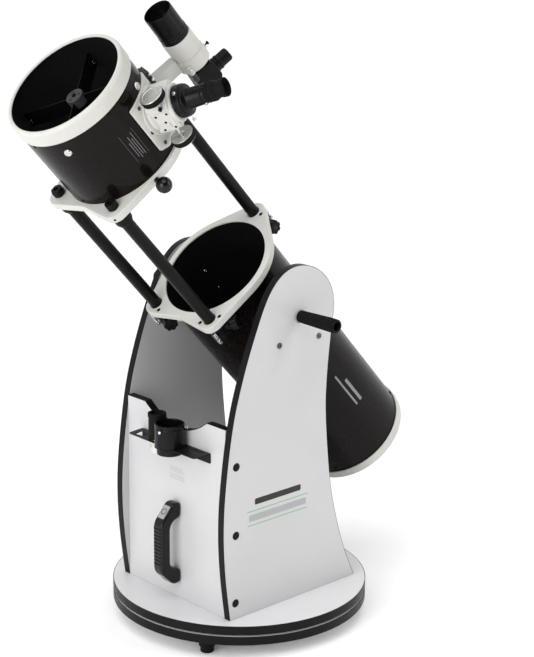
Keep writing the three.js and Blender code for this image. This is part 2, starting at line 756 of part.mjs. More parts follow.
export default root;
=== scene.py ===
"""A collapsible truss Newtonian telescope on a rocker box, in a pale studio."""
import json
from math import acos, asin, atan2, cos, pi, radians, sin, sqrt

import bmesh
import bpy
from mathutils import Matrix, Vector


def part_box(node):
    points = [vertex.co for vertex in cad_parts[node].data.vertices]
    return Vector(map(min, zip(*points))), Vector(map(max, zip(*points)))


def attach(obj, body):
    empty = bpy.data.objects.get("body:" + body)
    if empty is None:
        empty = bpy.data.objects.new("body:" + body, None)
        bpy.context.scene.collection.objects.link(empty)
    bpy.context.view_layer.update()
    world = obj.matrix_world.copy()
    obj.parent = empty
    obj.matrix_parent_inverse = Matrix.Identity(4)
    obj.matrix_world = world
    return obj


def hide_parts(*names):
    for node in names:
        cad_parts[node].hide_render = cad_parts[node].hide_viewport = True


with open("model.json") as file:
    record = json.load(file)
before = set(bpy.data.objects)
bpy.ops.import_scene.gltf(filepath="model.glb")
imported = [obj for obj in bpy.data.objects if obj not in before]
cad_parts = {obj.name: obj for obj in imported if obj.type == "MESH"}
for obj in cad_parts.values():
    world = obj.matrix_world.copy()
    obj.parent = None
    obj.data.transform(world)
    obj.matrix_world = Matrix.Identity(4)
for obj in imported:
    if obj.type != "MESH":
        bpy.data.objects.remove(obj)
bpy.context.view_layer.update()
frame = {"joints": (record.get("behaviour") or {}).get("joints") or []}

# ------------------------------------------------------------------ places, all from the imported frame
MM = Matrix.Scale(0.001, 4)
joints = {joint["name"]: joint for joint in frame["joints"]}
base_low, base_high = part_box("base_board")
axis_y = (base_low.y + base_high.y) / 2
GROUND = Matrix.Translation((0, axis_y, 0)) @ MM
SKY = Vector(joints["truss_slide"]["axis"]).normalized()
PIVOT = Vector(joints["altitude_tilt"]["pos_m"])
TOP = Vector((0, SKY.z, -SKY.y))


def centre(node):
    low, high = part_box(node)
    return (low + high) / 2


def basis(x, y, z, origin):
    """A place whose own axes are x, y and z in the row frame, in millimetres."""
    return Matrix((*zip(x, y, z, origin), (0, 0, 0, 1))) @ MM


TUBE = basis(Vector((1, 0, 0)), TOP, SKY, PIVOT)


def outwards(angle):
    a = radians(angle)
    return cos(a) * TOP + sin(a) * Vector((1, 0, 0))


def around(angle):
    a = radians(angle)
    return cos(a) * Vector((1, 0, 0)) - sin(a) * TOP


def at_angle(angle):
    """x round the tube, y outwards and z to the sky."""
    return basis(around(angle), outwards(angle), SKY, PIVOT)


def mounted_at(angle, along):
    """x to the sky, y round the tube and z outwards, from a point along the tube's axis."""
    return basis(SKY, around(angle), outwards(angle), PIVOT + SKY * along / 1000)


def moved(place, x=0, y=0, z=0):
    return place @ Matrix.Translation((x, y, z))


def facing(place, axis):
    """The same place with its z axis turned to face along one of its own axes."""
    turns = {
        "x": Matrix.Rotation(pi / 2, 4, "Y"), "-x": Matrix.Rotation(-pi / 2, 4, "Y"),
        "y": Matrix.Rotation(-pi / 2, 4, "X"), "-y": Matrix.Rotation(pi / 2, 4, "X"),
        "z": Matrix.Identity(4), "-z": Matrix.Rotation(pi, 4, "X"),
    }
    return place @ turns[axis]


def turned(place, degrees):
    return place @ Matrix.Rotation(radians(degrees), 4, "Z")


def on_tube(angle, radius, along, way="y"):
    """A place on the tube whose z axis faces outwards."""
    return facing(moved(at_angle(angle), y=radius, z=along), way)


def beside_axis(place, height, angle):
    """A place on another's z axis, with its own z axis facing outwards."""
    return facing(turned(moved(place, z=height), angle), "x")


# ------------------------------------------------------------------ outlines
def rounded(points, radius, closed=False, steps=3):
    """A line of 2-D points with its corners rounded."""
    count = len(points)
    out = []
    for i, point in enumerate(points):
        p = Vector(point)
        if not closed and i in (0, count - 1):
            out.append(p)
            continue
        a, b = Vector(points[i - 1]), Vector(points[(i + 1) % count])
        before, after = a - p, b - p
        if before.length < 1e-6 or after.length < 1e-6:
            continue
        if before.normalized().dot(after.normalized()) < -0.94 or radius <= 0:
            out.append(p)
            continue
        reach = min(radius, 0.45 * before.length, 0.45 * after.length)
        start, end = p + before.normalized() * reach, p + after.normalized() * reach
        for k in range(steps + 1):
            t = k / steps
            out.append(start * (1 - t) ** 2 + p * 2 * t * (1 - t) + end * t ** 2)
    return out


def loop(points, radius, steps=3):
    """A closed outline with its corners rounded."""
    return rounded(points, radius, True, steps)


def grown(points, distance):
    """A closed outline moved outwards by a distance."""
    points = [Vector(p) for p in points]
    count = len(points)
    area = sum(points[i - 1].x * points[i].y - points[i].x * points[i - 1].y for i in range(count))
    side = 1 if area > 0 else -1
    out = []
    for i, p in enumerate(points):
        one = (p - points[i - 1]).normalized()
        two = (points[(i + 1) % count] - p).normalized()
        n1 = Vector((one.y, -one.x)) * side
        n2 = Vector((two.y, -two.x)) * side
        out.append(p + (n1 + n2) / max(1 + n1.dot(n2), 0.4) * distance)
    return out


def circle(x, y, radius, sides=48):
    steps = (2 * pi * i / sides for i in range(sides))
    return [Vector((x + radius * cos(a), y + radius * sin(a))) for a in steps]


def rectangle(x0, x1, y0, y1, radius=0.0):
    corners = [(x0, y0), (x1, y0), (x1, y1), (x0, y1)]
    return loop(corners, radius, 5)


def spline(points, steps=8):
    """A smooth line through points."""
    points = [Vector(p) for p in points]
    out = []
    for i in range(len(points) - 1):
        a, b = points[max(i - 1, 0)], points[i]
        c, d = points[i + 1], points[min(i + 2, len(points) - 1)]
        square, cube = 2 * a - 5 * b + 4 * c - d, 3 * b - a - 3 * c + d
        for k in range(steps):
            t = k / steps
            out.append(0.5 * (2 * b + (c - a) * t + square * t * t + cube * t ** 3))
    return out + [points[-1]]


def beside(points, distance):
    """An open line moved to its right-hand side."""
    out = []
    for i, p in enumerate(points):
        way = (points[min(i + 1, len(points) - 1)] - points[max(i - 1, 0)]).normalized()
        out.append(Vector((p.x + way.y * distance, p.y - way.x * distance)))
    return out


def solid(radius, z0, z1):
    """The profile of a plain round bar."""
    return [(0, z0), (radius, z0), (radius, z1), (0, z1)]


def hollow(inner, outer, z0, z1):
    """The profile of a plain tube or washer."""
    return [(inner, z0), (outer, z0), (outer, z1), (inner, z1), (inner, z0)]


# ------------------------------------------------------------------ mesh building
PIECES = []


class Piece:
    """One named object, built up from closed solids in millimetres."""

    def __init__(self, name, body, slot, replaces=()):
        self.name = name
        self.body = body
        self.slot = slot
        self.replaces = replaces
        self.mesh = bmesh.new()
        self.finishes = []
        PIECES.append(self)

    def finish(self, name):
        if name not in self.finishes:
            self.finishes.append(name)
        return self.finishes.index(name)

    def lathe(self, place, profile, finish, sides=72, soft=0.4, wave=None, steps=3):
        """A solid of revolution about z from [radius, height] points."""
        index = self.finish(finish)
        line = rounded(profile, soft, steps=steps)
        rings = []
        for radius, height in line:
            if radius < 1e-4:
                rings.append([self.mesh.verts.new(place @ Vector((0, 0, height)))])
                continue
            ring = []
            for i in range(sides):
                a = 2 * pi * i / sides
                r = wave(a, radius, height) if wave else radius
                ring.append(self.mesh.verts.new(place @ Vector((r * cos(a), r * sin(a), height))))
            rings.append(ring)
        for one, two in zip(rings, rings[1:]):
            for i in range(sides):
                j = (i + 1) % sides
                a, b = one[i % len(one)], one[j % len(one)]
                c, d = two[j % len(two)], two[i % len(two)]
                corners = []
                for v in (a, b, c, d):
                    if v not in corners:
                        corners.append(v)
                if len(corners) > 2:
                    self.mesh.faces.new(corners).material_index = index

    def prism(self, place, outline, z0, z1, finish, holes=(), soft=0.5, steps=3, slices=None, bend=None):
        """A plate with rounded edges. A hole is an outline, or (outline, [(growth, height), ...])."""
        index = self.finish(finish)
        soft = min(soft, 0.49 * (z1 - z0))
        levels = [(0, z0)]
        if soft > 0:
            turns = [pi / 2 * k / steps for k in range(steps + 1)]
            levels = [(soft * (1 - sin(a)), z0 + soft * (1 - cos(a))) for a in turns]
        levels += [(inset, z0 + z1 - z) for inset, z in reversed(levels)]
        loops = [(outline, [(-inset, z) for inset, z in levels])]
        loops += [hole if isinstance(hole, tuple) else (hole, levels) for hole in holes]
        shape = bmesh.new()
        caps = ([], [])
        for points, steps_up in loops:
            rings = []
            for growth, z in steps_up:
                line = grown(points, growth) if abs(growth) > 1e-9 else points
                rings.append([shape.verts.new((p[0], p[1], z)) for p in line])
            for one, two in zip(rings, rings[1:]):
                for i in range(len(one)):
                    j = (i + 1) % len(one)
                    shape.faces.new((one[i], one[j], two[j], two[i]))
            for cap, ring in ((caps[0], rings[0]), (caps[1], rings[-1])):
                cap.extend(shape.edges.get((ring[i - 1], ring[i])) for i in range(len(ring)))
        for cap in caps:
            bmesh.ops.triangle_fill(shape, use_beauty=True, edges=cap)
        for axis, cuts in (slices or {}).items():
            normal = Vector((axis == "x", axis == "y", 0))
            for value in cuts:
                geometry = shape.verts[:] + shape.edges[:] + shape.faces[:]
                bmesh.ops.bisect_plane(
                    shape, geom=geometry, plane_co=normal * value, plane_no=normal, dist=1e-5,
                )
        copies = {v: self.mesh.verts.new(place @ (bend(v.co) if bend else v.co)) for v in shape.verts}
        for face in shape.faces:
            self.mesh.faces.new([copies[v] for v in face.verts]).material_index = index
        shape.free()

    def sweep(self, place, points, radius, finish, sides=10):
        """A round bar along a line of points."""
        index = self.finish(finish)
        points = [Vector(p) for p in points]
        rings = []
        side = None
        for i, p in enumerate(points):
            way = (points[min(i + 1, len(points) - 1)] - points[max(i - 1, 0)]).normalized()
            if side is None:
                side = way.orthogonal().normalized()
            side = (side - way * side.dot(way)).normalized()
            other = way.cross(side)
            rings.append(
                [
                    self.mesh.verts.new(place @ (p + radius * (cos(a) * side + sin(a) * other)))
                    for a in (2 * pi * k / sides for k in range(sides))
                ]
            )
        for one, two in zip(rings, rings[1:]):
            for i in range(sides):
                j = (i + 1) % sides
                self.mesh.faces.new((one[i], one[j], two[j], two[i])).material_index = index
        for ring in (rings[0], rings[-1]):
            self.mesh.faces.new(ring).material_index = index

    def done(self):
        bmesh.ops.remove_doubles(self.mesh, verts=self.mesh.verts, dist=1e-7)
        bmesh.ops.recalc_face_normals(self.mesh, faces=self.mesh.faces)
        data = bpy.data.meshes.new(self.name)
        self.mesh.to_mesh(data)
        self.mesh.free()
        for name in self.finishes:
            data.materials.append(FINISHES[name])
        data.shade_smooth()
        data.set_sharp_from_angle(angle=radians(38))
        piece = bpy.data.objects.new(self.name, data)
        bpy.context.scene.collection.objects.link(piece)
        smooth = piece.modifiers.new("even_shading", "WEIGHTED_NORMAL")
        smooth.keep_sharp = True
        smooth.weight = 60
        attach(piece, self.body)
        if self.replaces:
            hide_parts(*self.replaces)


# ------------------------------------------------------------------ materials
FINISHES = {}


class Shade:
    """A short way to build a node material whose coordinates are the row frame's, in metres."""

    def __init__(self, name, metallic=0.0, **sockets):
        self.material = FINISHES[name] = bpy.data.materials.new(name)
        self.material.use_nodes = True
        self.tree = self.material.node_tree
        self.shader = self.tree.nodes["Principled BSDF"]
        self.shader.inputs["Metallic"].default_value = metallic
        for socket, value in sockets.items():
            self.shader.inputs[socket.replace("_", " ")].default_value = value
        self.place = self.tree.nodes.new("ShaderNodeTexCoord").outputs["Object"]
        self.normal = None

    def feed(self, socket, value):
        """Links a socket to another, or sets it to a number or a colour."""
        if isinstance(value, bpy.types.NodeSocket):
            self.tree.links.new(value, socket)
        elif socket.type == "RGBA":
            socket.default_value = (*value, 1)
        else:
            socket.default_value = value

    def node(self, kind, inputs=(), **settings):
        made = self.tree.nodes.new("ShaderNode" + kind)
        for key, value in settings.items():
            setattr(made, key, value)
        for key, value in dict(inputs).items():
            self.feed(made.inputs[key], value)
        return made

    def noise(self, scale, detail=3.0, stretch=(1, 1, 1), roughness=0.5):
        """Noise of a size in grains to the metre, stretched along the axes."""
        place = self.node("Mapping", {"Vector": self.place, "Scale": stretch}).outputs[0]
        values = {"Vector": place, "Scale": scale, "Detail": detail, "Roughness": roughness}
        return self.node("TexNoise", values).outputs["Fac"]

    def ramp(self, value, low, high, a=0.0, b=1.0):
        inputs = {"Value": value, "From Min": low, "From Max": high, "To Min": a, "To Max": b}
        return self.node("MapRange", inputs).outputs[0]

    def mix(self, fac, a, b):
        """Mixes two colours. Each is a colour or a socket."""
        return self.node("Mix", {0: fac, 6: a, 7: b}, data_type="RGBA").outputs[2]

    def colour(self, socket):
        self.feed(self.shader.inputs["Base Color"], socket)

    def rough(self, socket):
        self.feed(self.shader.inputs["Roughness"], socket)

    def bump(self, height, distance, strength=1.0):
        inputs = {"Height": height, "Distance": distance, "Strength": strength}
        if self.normal:
            inputs["Normal"] = self.normal
        self.normal = self.node("Bump", inputs).outputs[0]
        self.feed(self.shader.inputs["Normal"], self.normal)
        return self


def melamine(name, light, dark):
    """Coated chipboard: a fine pearl texture, faint handling marks and a few scuffs."""
    shade = Shade(name, Specular_IOR_Level=0.45, Coat_Weight=0.12, Coat_Roughness=0.3)
    broad = shade.noise(5, 3)
    fine = shade.noise(1400, 2)
    scuff = shade.ramp(shade.noise(38, 5, (1, 1, 6), 0.62), 0.66, 0.74)
    base = shade.mix(shade.ramp(broad, 0.35, 0.65), light, dark)
    grain = shade.mix(shade.ramp(fine, 0.3, 0.7, 0.0, 0.16), base, tuple(0.8 * c for c in dark))
    shade.colour(shade.mix(shade.ramp(scuff, 0, 1, 0.0, 0.1), grain, tuple(0.55 * c for c in dark)))
    shade.rough(shade.ramp(shade.noise(60, 4), 0.3, 0.7, 0.34, 0.5))
    shade.bump(fine, 0.00006, 0.5).bump(shade.noise(160, 2), 0.00008, 0.25)


def painted(name, light, dark, rough=(0.42, 0.6), grain=900, depth=0.00012, coat=0.0, level=0.22):
    """Powder coat or moulded plastic: a fine even pebble with a slow change of tone and rubbed spots."""
    shade = Shade(name, Coat_Weight=coat, Coat_Roughness=0.2, Specular_IOR_Level=level)
    pebble = shade.noise(grain, 3, roughness=0.6)
    broad = shade.noise(14, 4)
    rubbed = shade.ramp(shade.noise(75, 6, roughness=0.7), 0.6, 0.72)
    base = shade.mix(shade.ramp(broad, 0.3, 0.7), light, dark)
    speck = shade.mix(shade.ramp(pebble, 0.35, 0.75, 0.0, 0.35), base, dark)
    shade.colour(
        shade.mix(
            shade.ramp(rubbed, 0, 1, 0.0, 0.16), speck, tuple(min(1.0, 1.25 * c + 0.006) for c in light),
        )
    )
    shade.rough(shade.ramp(shade.noise(140, 4), 0.3, 0.7, *rough))
    shade.bump(pebble, depth, 0.6)


def enamel(name, coat):
    """Deep black enamel over rolled steel: a warm metallic fleck, a clear coat and faint dust."""
    shade = Shade(name, Coat_Weight=coat, Coat_Roughness=0.04, Specular_IOR_Level=0.04, Coat_IOR=1.38)
    fleck = shade.ramp(shade.noise(2600, 1), 0.62, 0.7)
    base = shade.mix(
        shade.ramp(shade.noise(6, 3), 0.3, 0.7), (0.0030, 0.0019, 0.0018), (0.0060, 0.0038, 0.0034),
    )
    dust = shade.ramp(shade.noise(26, 6, (1, 1, 1), 0.7), 0.6, 0.84, 0.0, 0.02)
    shade.colour(
        shade.mix(
            dust, shade.mix(shade.ramp(fleck, 0, 1, 0.0, 0.3), base, (0.03, 0.023, 0.021)),
            (0.12, 0.115, 0.11),
        )
    )
    shade.rough(shade.ramp(shade.noise(45, 5, roughness=0.65), 0.3, 0.75, 0.2, 0.34))
    shade.bump(shade.noise(320, 2), 0.00002, 0.3)


def metal(name, light, dark, rough=(0.14, 0.3), stretch=(1, 1, 1), scale=900, metallic=1.0, depth=0.00002):
    """Plated or anodised metal with fine turning marks, smudges and small scratches."""
    shade = Shade(name, metallic=metallic)
    fine = shade.noise(scale, 2, stretch)
    smudge = shade.noise(90, 5, roughness=0.65)
    shade.colour(
        shade.mix(
            shade.ramp(smudge, 0.35, 0.7, 0.0, 0.8),
            shade.mix(shade.ramp(fine, 0.3, 0.7, 0, 0.5), light, dark), dark,
        )
    )
    shade.rough(shade.ramp(smudge, 0.3, 0.72, *rough))
    shade.bump(fine, depth, 0.4)


def mirror(name):
    """First-surface aluminium on glass, with a trace of dust."""
    shade = Shade(name, metallic=1.0)
    dust = shade.ramp(shade.noise(900, 4, roughness=0.7), 0.6, 0.78)
    shade.colour(shade.mix(shade.ramp(dust, 0, 1, 0, 0.35), (0.86, 0.88, 0.9), (0.55, 0.55, 0.55)))
    shade.rough(shade.ramp(dust, 0, 1, 0.015, 0.12))


def lens(name):
    """Coated glass seen against a black barrel."""
    shade = Shade(name, Coat_Weight=1.0, Coat_Roughness=0.02, Specular_IOR_Level=0.9)
    tint = shade.ramp(shade.noise(45, 2), 0.35, 0.65)
    shade.colour(shade.mix(tint, (0.012, 0.035, 0.03), (0.03, 0.014, 0.045)))
    shade.rough(shade.ramp(shade.noise(300, 4), 0.4, 0.8, 0.03, 0.09))


melamine("board_white", (0.555, 0.555, 0.562), (0.525, 0.525, 0.534))
# A lighter copy of the board melamine for the round boards: painted light, standing in for the light that
# falls on their upward faces.
melamine("base_white_painted_lit", (0.66, 0.66, 0.668), (0.63, 0.63, 0.64))
painted("edge_black", (0.007, 0.007, 0.0073), (0.004, 0.004, 0.0043), (0.3, 0.46), 700, 0.00005, level=0.12)
painted(
    "powder_white", (0.575, 0.57, 0.535), (0.50, 0.495, 0.465), (0.38, 0.52), 520, 0.00022, coat=0.1,
    level=0.45,
)
painted(
    "plastic_black", (0.0048, 0.0048, 0.005), (0.0026, 0.0026, 0.0028), (0.34, 0.5), 1300, 0.00010,
    level=0.12,
)
painted(
    "plastic_gloss", (0.003, 0.003, 0.0033), (0.002, 0.002, 0.0022), (0.16, 0.26), 500, 0.00003, coat=0.4,
    level=0.1,
)
painted(
    "rubber_black", (0.0055, 0.0055, 0.0055), (0.003, 0.003, 0.003), (0.55, 0.75), 1500, 0.00012,
    level=0.12,
)
painted(
    "inside_black", (0.006, 0.006, 0.0065), (0.003, 0.003, 0.0035), (0.75, 0.92), 1800, 0.00015, level=0.08,
)
painted(
    "rod_black", (0.0035, 0.0035, 0.0037), (0.002, 0.002, 0.0022), (0.32, 0.46), 1600, 0.00006, level=0.13,
)
painted("nylon_white", (0.78, 0.77, 0.72), (0.70, 0.69, 0.64), (0.45, 0.6), 600, 0.00006)
painted("cell_grey", (0.055, 0.056, 0.06), (0.035, 0.036, 0.04), (0.5, 0.7), 800, 0.0002)
painted("print_black", (0.03, 0.03, 0.032), (0.022, 0.022, 0.024), (0.35, 0.5), 900, 0.00002)
painted("print_green", (0.10, 0.42, 0.13), (0.08, 0.36, 0.11), (0.35, 0.5), 900, 0.00002)
painted("label_grey", (0.42, 0.42, 0.43), (0.36, 0.36, 0.37), (0.35, 0.5), 900, 0.00002)
painted("label_dark", (0.16, 0.16, 0.16), (0.13, 0.13, 0.13), (0.3, 0.42), 900, 0.00001)
painted("label_light", (0.24, 0.24, 0.245), (0.2, 0.2, 0.205), (0.3, 0.42), 900, 0.00001)
enamel("upper_black", 0.25)
enamel("lower_black", 0.19)
metal("steel", (0.74, 0.75, 0.77), (0.52, 0.53, 0.55))
metal(
    "knob_silver", (0.74, 0.74, 0.71), (0.40, 0.40, 0.38), (0.26, 0.42), scale=430, metallic=0.85,
    depth=0.0003,
)
painted(
    "anodised", (0.004, 0.004, 0.0042), (0.0022, 0.0022, 0.0024), (0.24, 0.38), 2200, 0.00004, level=0.16,
)
metal("zinc", (0.24, 0.215, 0.185), (0.09, 0.08, 0.07), (0.3, 0.5))
# Light grey: the real grey washer on the tension handles, and a painted highlight on the carry handle's
# glossy wells.
painted("grey_washer_and_painted_highlight", (0.36, 0.36, 0.365), (0.28, 0.28, 0.285), (0.3, 0.45), 900, 0.00004, level=0.4)
mirror("mirror")
lens("lens")

# ------------------------------------------------------------------ small hardware
def hexagon(radius, turn=0.0):
    return [(radius * cos(radians(60 * k + turn)), radius * sin(radians(60 * k + turn))) for k in range(6)]


def socket_screw(piece, place, radius, height, finish="steel"):
    """A domed screw head with a hexagon socket, its seat at z = 0."""
    inner = radius * 0.42
    piece.lathe(
        place,
        [(inner, height * 0.3), (inner, height), (radius * 0.62, height), (radius, height * 0.45),
         (radius, 0), (0, 0), (0, height * 0.3), (inner, height * 0.3)],
        finish, sides=24, soft=radius * 0.16,
    )


def thumbscrew(piece, place, shaft, length, head_r, head_h, finish="steel"):
    """A knurled thumbscrew that stands out along z."""
    teeth = 26

    def knurl(a, r, z):
        return r * (1 - 0.05 * (0.5 + 0.5 * cos(teeth * a))) if r > head_r * 0.9 else r

    piece.lathe(
        place,
        [(0, -2), (shaft, -2), (shaft, length), (head_r * 0.6, length + 0.5), (head_r, length + 0.5),
         (head_r, length + head_h), (head_r * 0.45, length + head_h + 0.5), (0, length + head_h + 0.3)],
        finish, sides=teeth * 4, soft=0.35, wave=knurl,
    )


def star(radius, lobes, depth, sides=16):
    """The outline of a knob with rounded lobes."""
    points = []
    for k in range(lobes * sides):
        a = 2 * pi * k / (lobes * sides)
        notch = (0.5 - 0.5 * cos(lobes * a)) ** 0.45
        points.append(
            Vector(((radius - depth * (1 - notch)) * cos(a), (radius - depth * (1 - notch)) * sin(a)))
        )
    return points


# ------------------------------------------------------------------ ground board, feet and azimuth bearing
BASE_R = (base_high.x - base_low.x) * 500
BOLT_R = 6


def round_board(name, body, z0, z1, hole, node):
    """A coated round board with a black strip pressed round its rim."""
    board = Piece(name, body, "melamine", [node])
    # The board takes the lighter copy of the melamine, painted lighter for the light on its upward face.
    board.lathe(GROUND, hollow(hole, BASE_R - 1.3, z0, z1), "base_white_painted_lit", sides=200, soft=0.25)
    strip = Piece(name + "_strip", body, "edging")
    strip.lathe(GROUND, hollow(BASE_R - 1.2, BASE_R, z0, z1), "edge_black", sides=200, soft=0.45)


def heights(node):
    low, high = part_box(node)
    return low.z * 1000, high.z * 1000


ground_z = heights("ground_board")
base_z = heights("base_board")
round_board("ground_board_top", "ground", *ground_z, BOLT_R + 0.3, "ground_board")
round_board("base_board_top", "rocker", *base_z, BOLT_R + 0.4, "base_board")

for number in (1, 2, 3):
    middle = centre(f"foot_{number}")
    foot_top = heights(f"foot_{number}")[1]
    place = Matrix.Translation((middle.x, middle.y, 0)) @ MM
    foot = Piece(f"foot_{number}_rubber", "ground", "rubber", [f"foot_{number}"])
    foot.lathe(
        place,
        [(0, 9), (6, 9), (6, 0), (12, 0), (13.5, 1.5), (13.5, 9), (16.6, 14), (16.6, foot_top),
         (0, foot_top)],
        "rubber_black", sides=48, soft=1.2,
    )
    socket_screw(foot, facing(moved(place, z=8.9), "-z"), 4.6, 3)

ring = Piece("azimuth_ring", "ground", "nylon", ["azimuth_bearing"])
ring.lathe(GROUND, hollow(95, 125, *heights("azimuth_bearing")), "nylon_white", sides=120, soft=0.5)

DECK = base_z[1] + 0.3
bolt = Piece("azimuth_bolt", "ground", "steel", ["azimuth_pivot_bolt"])
bolt.prism(moved(GROUND, z=ground_z[0] - 6.3), hexagon(9.8), 0, 6, "steel", soft=0.8)
bolt.lathe(
    GROUND,
    [(0, ground_z[0] - 3), (BOLT_R - 0.2, ground_z[0] - 3), (BOLT_R - 0.2, DECK + 11.4), (0, DECK + 12)],
    "steel", sides=36, soft=0.8,
)
bolt.lathe(GROUND, hollow(BOLT_R, 15, DECK, DECK + 2), "steel", sides=48)
bolt.prism(moved(GROUND, z=DECK + 2), hexagon(9.8, 12), 0, 8, "steel", soft=0.8)

# ------------------------------------------------------------------ rocker box
SIDE_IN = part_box("side_board_right")[0].x * 1000
SIDE_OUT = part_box("side_board_right")[1].x * 1000
PIVOT_Y = (PIVOT.y - axis_y) * 1000
PIVOT_Z = PIVOT.z * 1000
OUTLINE = [
    (-172, 0), (-185, 95), (-190, 185), (-185, 275), (-168, 392), (-144, 480), (-110, 570), (-77, 637),
    (-40, 673), (4, 683), (50, 669), (84, 637), (98, 593), (91, 535), (82, 440), (82, 360), (97, 226),
    (118, 136), (142, 66), (172, 0),
]
edge = spline([(y, z + DECK) for y, z in OUTLINE], 10)
strip_in = beside(edge, 0.9)
board_edge = beside(edge, 1.0)
for line in (strip_in, board_edge):
    line[0].y = line[-1].y = DECK
ROLLER_AT = [(PIVOT_Y + sign * 52.7, PIVOT_Z - 49.3) for sign in (-1, 1)]
SIDEWAYS = Matrix(((0, 0, 1, 0), (1, 0, 0, 0), (0, 1, 0, 0), (0, 0, 0, 1)))
ENDWAYS = Matrix(((1, 0, 0, 0), (0, 0, -1, 0), (0, 1, 0, 0), (0, 0, 0, 1)))

for side, sign in (("right", 1), ("left", -1)):
    x0, x1 = (SIDE_IN, SIDE_OUT) if sign > 0 else (-SIDE_OUT, -SIDE_IN)
    outer = moved(GROUND, x=sign * SIDE_OUT)
    outward = "x" if sign > 0 else "-x"
    board = Piece(f"side_panel_{side}", "rocker", "melamine", [f"side_board_{side}"])
    holes = [circle(PIVOT_Y, PIVOT_Z, 8.2, 36)] + [circle(y, z, 3.3, 20) for y, z in ROLLER_AT]
    board.prism(GROUND @ SIDEWAYS, board_edge, x0, x1, "board_white", holes, soft=0.2, steps=1)
    strip = Piece(f"side_strip_{side}", "rocker", "edging", [f"side_band_{side}"])
    strip.prism(GROUND @ SIDEWAYS, strip_in + edge[::-1], x0, x1, "edge_black", steps=2)
    caps = Piece(f"screw_caps_{side}", "rocker", "plastic")
    for z in (385.8, 246.1, 105.5):
        cap = facing(moved(outer, y=-158, z=z), outward)
        caps.lathe(
            cap, [(0, -0.2), (8.4, -0.2), (8.4, 0.5), (6.6, 1.7), (2.2, 1.9), (1.6, 1.3), (0, 1.2)],
            "plastic_black", sides=40, soft=0.6,
        )
    for place_name, (y, z) in zip(("front", "rear"), ROLLER_AT):
        roller = Piece(
            f"roller_{side}_{place_name}", "rocker", "nylon", [f"altitude_roller_{side}_{place_name}"],
        )
        along = facing(moved(GROUND, y=y, z=z), outward)
        roller.lathe(
            along,
            [(0, 120.7), (4, 120.7), (4, 122), (9.6, 122), (11.9, 123.4), (11.9, SIDE_IN - 0.3),
             (3.1, SIDE_IN - 0.3), (0, SIDE_IN - 0.3)],
            "nylon_white", sides=60, soft=0.8,
        )
        socket_screw(roller, facing(moved(along, z=121.9), "-z"), 3.6, 1.2)
        roller.lathe(
            along,
            [(0, SIDE_IN), (3.0, SIDE_IN), (3.0, SIDE_OUT + 0.4), (6.4, SIDE_OUT + 0.1),
             (6.4, SIDE_OUT + 0.9), (0, SIDE_OUT + 0.9)],
            "zinc", sides=30, soft=0.2,
        )
        socket_screw(roller, moved(along, z=SIDE_OUT + 0.8), 4.4, 2.3, "zinc")

# Front board with its scoop and edge strip
front_low, front_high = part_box("front_board")
FRONT = (front_low.y - axis_y) * 1000
FRONT_BACK = (front_high.y - axis_y) * 1000
FRONT_TOP = front_high.z * 1000
FRONT_HALF = front_high.x * 1000
SCOOP_HALF, SCOOP_DEPTH = 92, 33
scoop_radius = (SCOOP_HALF ** 2 + SCOOP_DEPTH ** 2) / (2 * SCOOP_DEPTH)
scoop_span = asin(SCOOP_HALF / scoop_radius)
top_line = [Vector((-FRONT_HALF, FRONT_TOP))]
for k in range(33):
    a = -pi / 2 - scoop_span + 2 * scoop_span * k / 32
    top_line.append(
        Vector((scoop_radius * cos(a), FRONT_TOP - SCOOP_DEPTH + scoop_radius + scoop_radius * sin(a)))
    )
top_line.append(Vector((FRONT_HALF, FRONT_TOP)))
under = beside(top_line, 1.5)
under[0].x, under[-1].x = -FRONT_HALF, FRONT_HALF
front = Piece("front_panel", "rocker", "melamine", ["front_board"])
front.prism(
    GROUND @ ENDWAYS, [(FRONT_HALF, DECK), *beside(under, 0.1)[::-1], (-FRONT_HALF, DECK)], -FRONT_BACK,
    -FRONT, "board_white", soft=0.2, steps=1,
)
strip = Piece("front_strip", "rocker", "edging")
strip.prism(GROUND @ ENDWAYS, under + top_line[::-1], -FRONT_BACK, -FRONT, "edge_black", soft=0.45, steps=2)

# Carry handle
HANDLE_X = 4
grip_line = [
    (0.3, 108), (18, 106), (47, 134), (51, 144), (51, 235), (47, 245), (18, 278), (0.3, 276), (0.3, 247),
    (20, 240), (27, 228), (27, 151), (20, 142), (0.3, 135),
]
ACROSS = Matrix(((0, 0, -1, 0), (-1, 0, 0, 0), (0, 1, 0, 0), (0, 0, 0, 1)))
HANDLE = moved(GROUND, HANDLE_X, FRONT) @ ACROSS
handle = Piece("carry_grip", "rocker", "plastic", ["carry_handle"])
handle.prism(HANDLE, loop(grip_line, 7, 5), -13, 13, "plastic_gloss", soft=4.6, steps=5)
for k in range(11):
    z = 154 + 7.4 * k
    rib = loop([(45, z), (52.2, z), (52.2, z + 3.4), (45, z + 3.4)], 1.4, 4)
    handle.prism(HANDLE, rib, -10.4, 10.4, "plastic_black", soft=1.6)
# The light grey plate in each well is a painted highlight on the glossy black recess.
for z, tilt, reach in ((232.9, -41.3, 43.3), (153.7, 46, 46.8)):
    spot = moved(GROUND, HANDLE_X, FRONT, z) @ Matrix.Rotation(radians(tilt), 4, "X")
    well = moved(facing(spot, "-y"), z=reach)
    handle.prism(well, rectangle(-8.8, 8.8, -15, 13.5, 2.5), -6, 0.8, "grey_washer_and_painted_highlight", soft=0.8, steps=4)
    handle.lathe(
        well, [(0, 0.2), (5.6, 0.2), (6.6, 1.0), (5.2, 1.1), (4.6, 0.6), (0, 0.6)], "plastic_black",
        sides=48, soft=0.2,
    )

